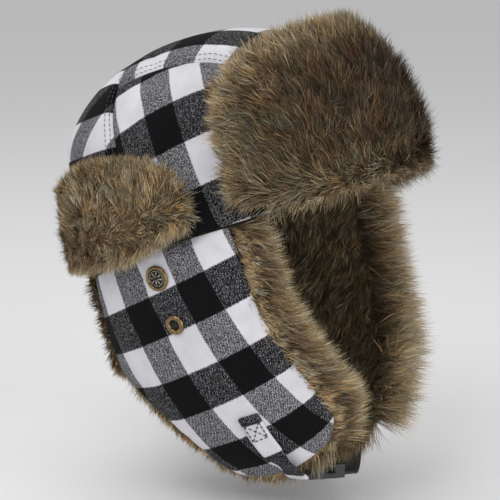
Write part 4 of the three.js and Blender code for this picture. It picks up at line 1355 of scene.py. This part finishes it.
def finish_cad_nodes():
    """The CAD pieces that stay: a small bevel and a material of their own."""
    looks = {"buckle": (PLASTIC, 0.5), "release_arm": (PLASTIC, 0.35), "press_stud_back": (BRASS, 0.25),
             "eyelet_back": (BRASS, 0.25), "flap_wadding": (FELT, 0.8)}
    for name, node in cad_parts.items():
        for key, (finish, radius) in looks.items():
            if name.startswith(key):
                node.data.materials.clear()
                node.data.materials.append(finish)
                bevel = node.modifiers.new("edge", "BEVEL")
                bevel.width, bevel.segments, bevel.limit_method = radius * MM, 3, "ANGLE"
                bevel.angle_limit = math.radians(35)


build_visor()
build_rear_cuff()
build_flaps()
build_curtain()
build_studs()
build_crown_stitches()
build_chin_tab()
build_webbing()
finish_cad_nodes()


# ---- camera, light and floor --------------------------------------------------------
VIEW_AZIMUTH, VIEW_ELEVATION, VIEW_DISTANCE = -62, 11, 1.05
VIEW_LENS = 113.4
LAMP_SIZE = 1.0
FLOOR = 6.0                                    # half the floor's side, in metres


def toward(azimuth, elevation):
    """Unit vector from the origin: azimuth 0 is the face's side, and positive is the wearer's left."""
    a, e = math.radians(azimuth), math.radians(elevation)
    return Vector((math.sin(a) * math.cos(e), -math.cos(a) * math.cos(e), math.sin(e)))


def aimed(name, data, at, aim):
    """A camera or lamp at a place, pointed at aim."""
    made = bpy.data.objects.new(name, data)
    made.location = at
    made.rotation_mode = "QUATERNION"
    made.rotation_quaternion = (aim - made.location).to_track_quat("-Z", "Y")
    bpy.context.scene.collection.objects.link(made)
    return made


def build_camera():
    """Three-quarter view of the wearer's right side, aimed a little below the headband."""
    back = toward(VIEW_AZIMUTH, VIEW_ELEVATION)
    a = math.radians(VIEW_AZIMUTH)
    right = Vector((math.cos(a), math.sin(a), 0))
    data = bpy.data.cameras.new("camera")
    data.lens = VIEW_LENS
    aim = right * 0.002 - back.cross(right) * 0.0227
    bpy.context.scene.camera = aimed("camera", data, back * VIEW_DISTANCE, aim)


def area_light(name, azimuth, elevation, distance, power):
    data = bpy.data.lights.new(name, "AREA")
    data.size = LAMP_SIZE
    data.energy = power
    aimed(name, data, toward(azimuth, elevation) * distance, Vector())


def build_stage():
    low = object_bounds()[0].z - 0.004
    corners = [(-FLOOR, -FLOOR, low), (FLOOR, -FLOOR, low), (FLOOR, FLOOR, low), (-FLOOR, FLOOR, low)]
    floor = mesh_object("floor", np.array(corners) / MM, [(0, 1, 2, 3)])
    g = Graph("pale_floor", Roughness=0.9)
    g.colour((0.86, 0.86, 0.87, 1))
    floor.data.materials.append(g.material)
    world = bpy.data.worlds.new("studio")
    world.use_nodes = True
    sky = world.node_tree.nodes["Background"].inputs
    sky[0].default_value = (1, 1, 1, 1)
    sky[1].default_value = 0.55
    bpy.context.scene.world = world
    area_light("key", -95, 48, 1.6, 9)
    area_light("front", -15, 14, 1.8, 12)
    area_light("top", 160, 70, 1.6, 5)
    bpy.context.scene.view_settings.view_transform = "Standard"


build_camera()
build_stage()
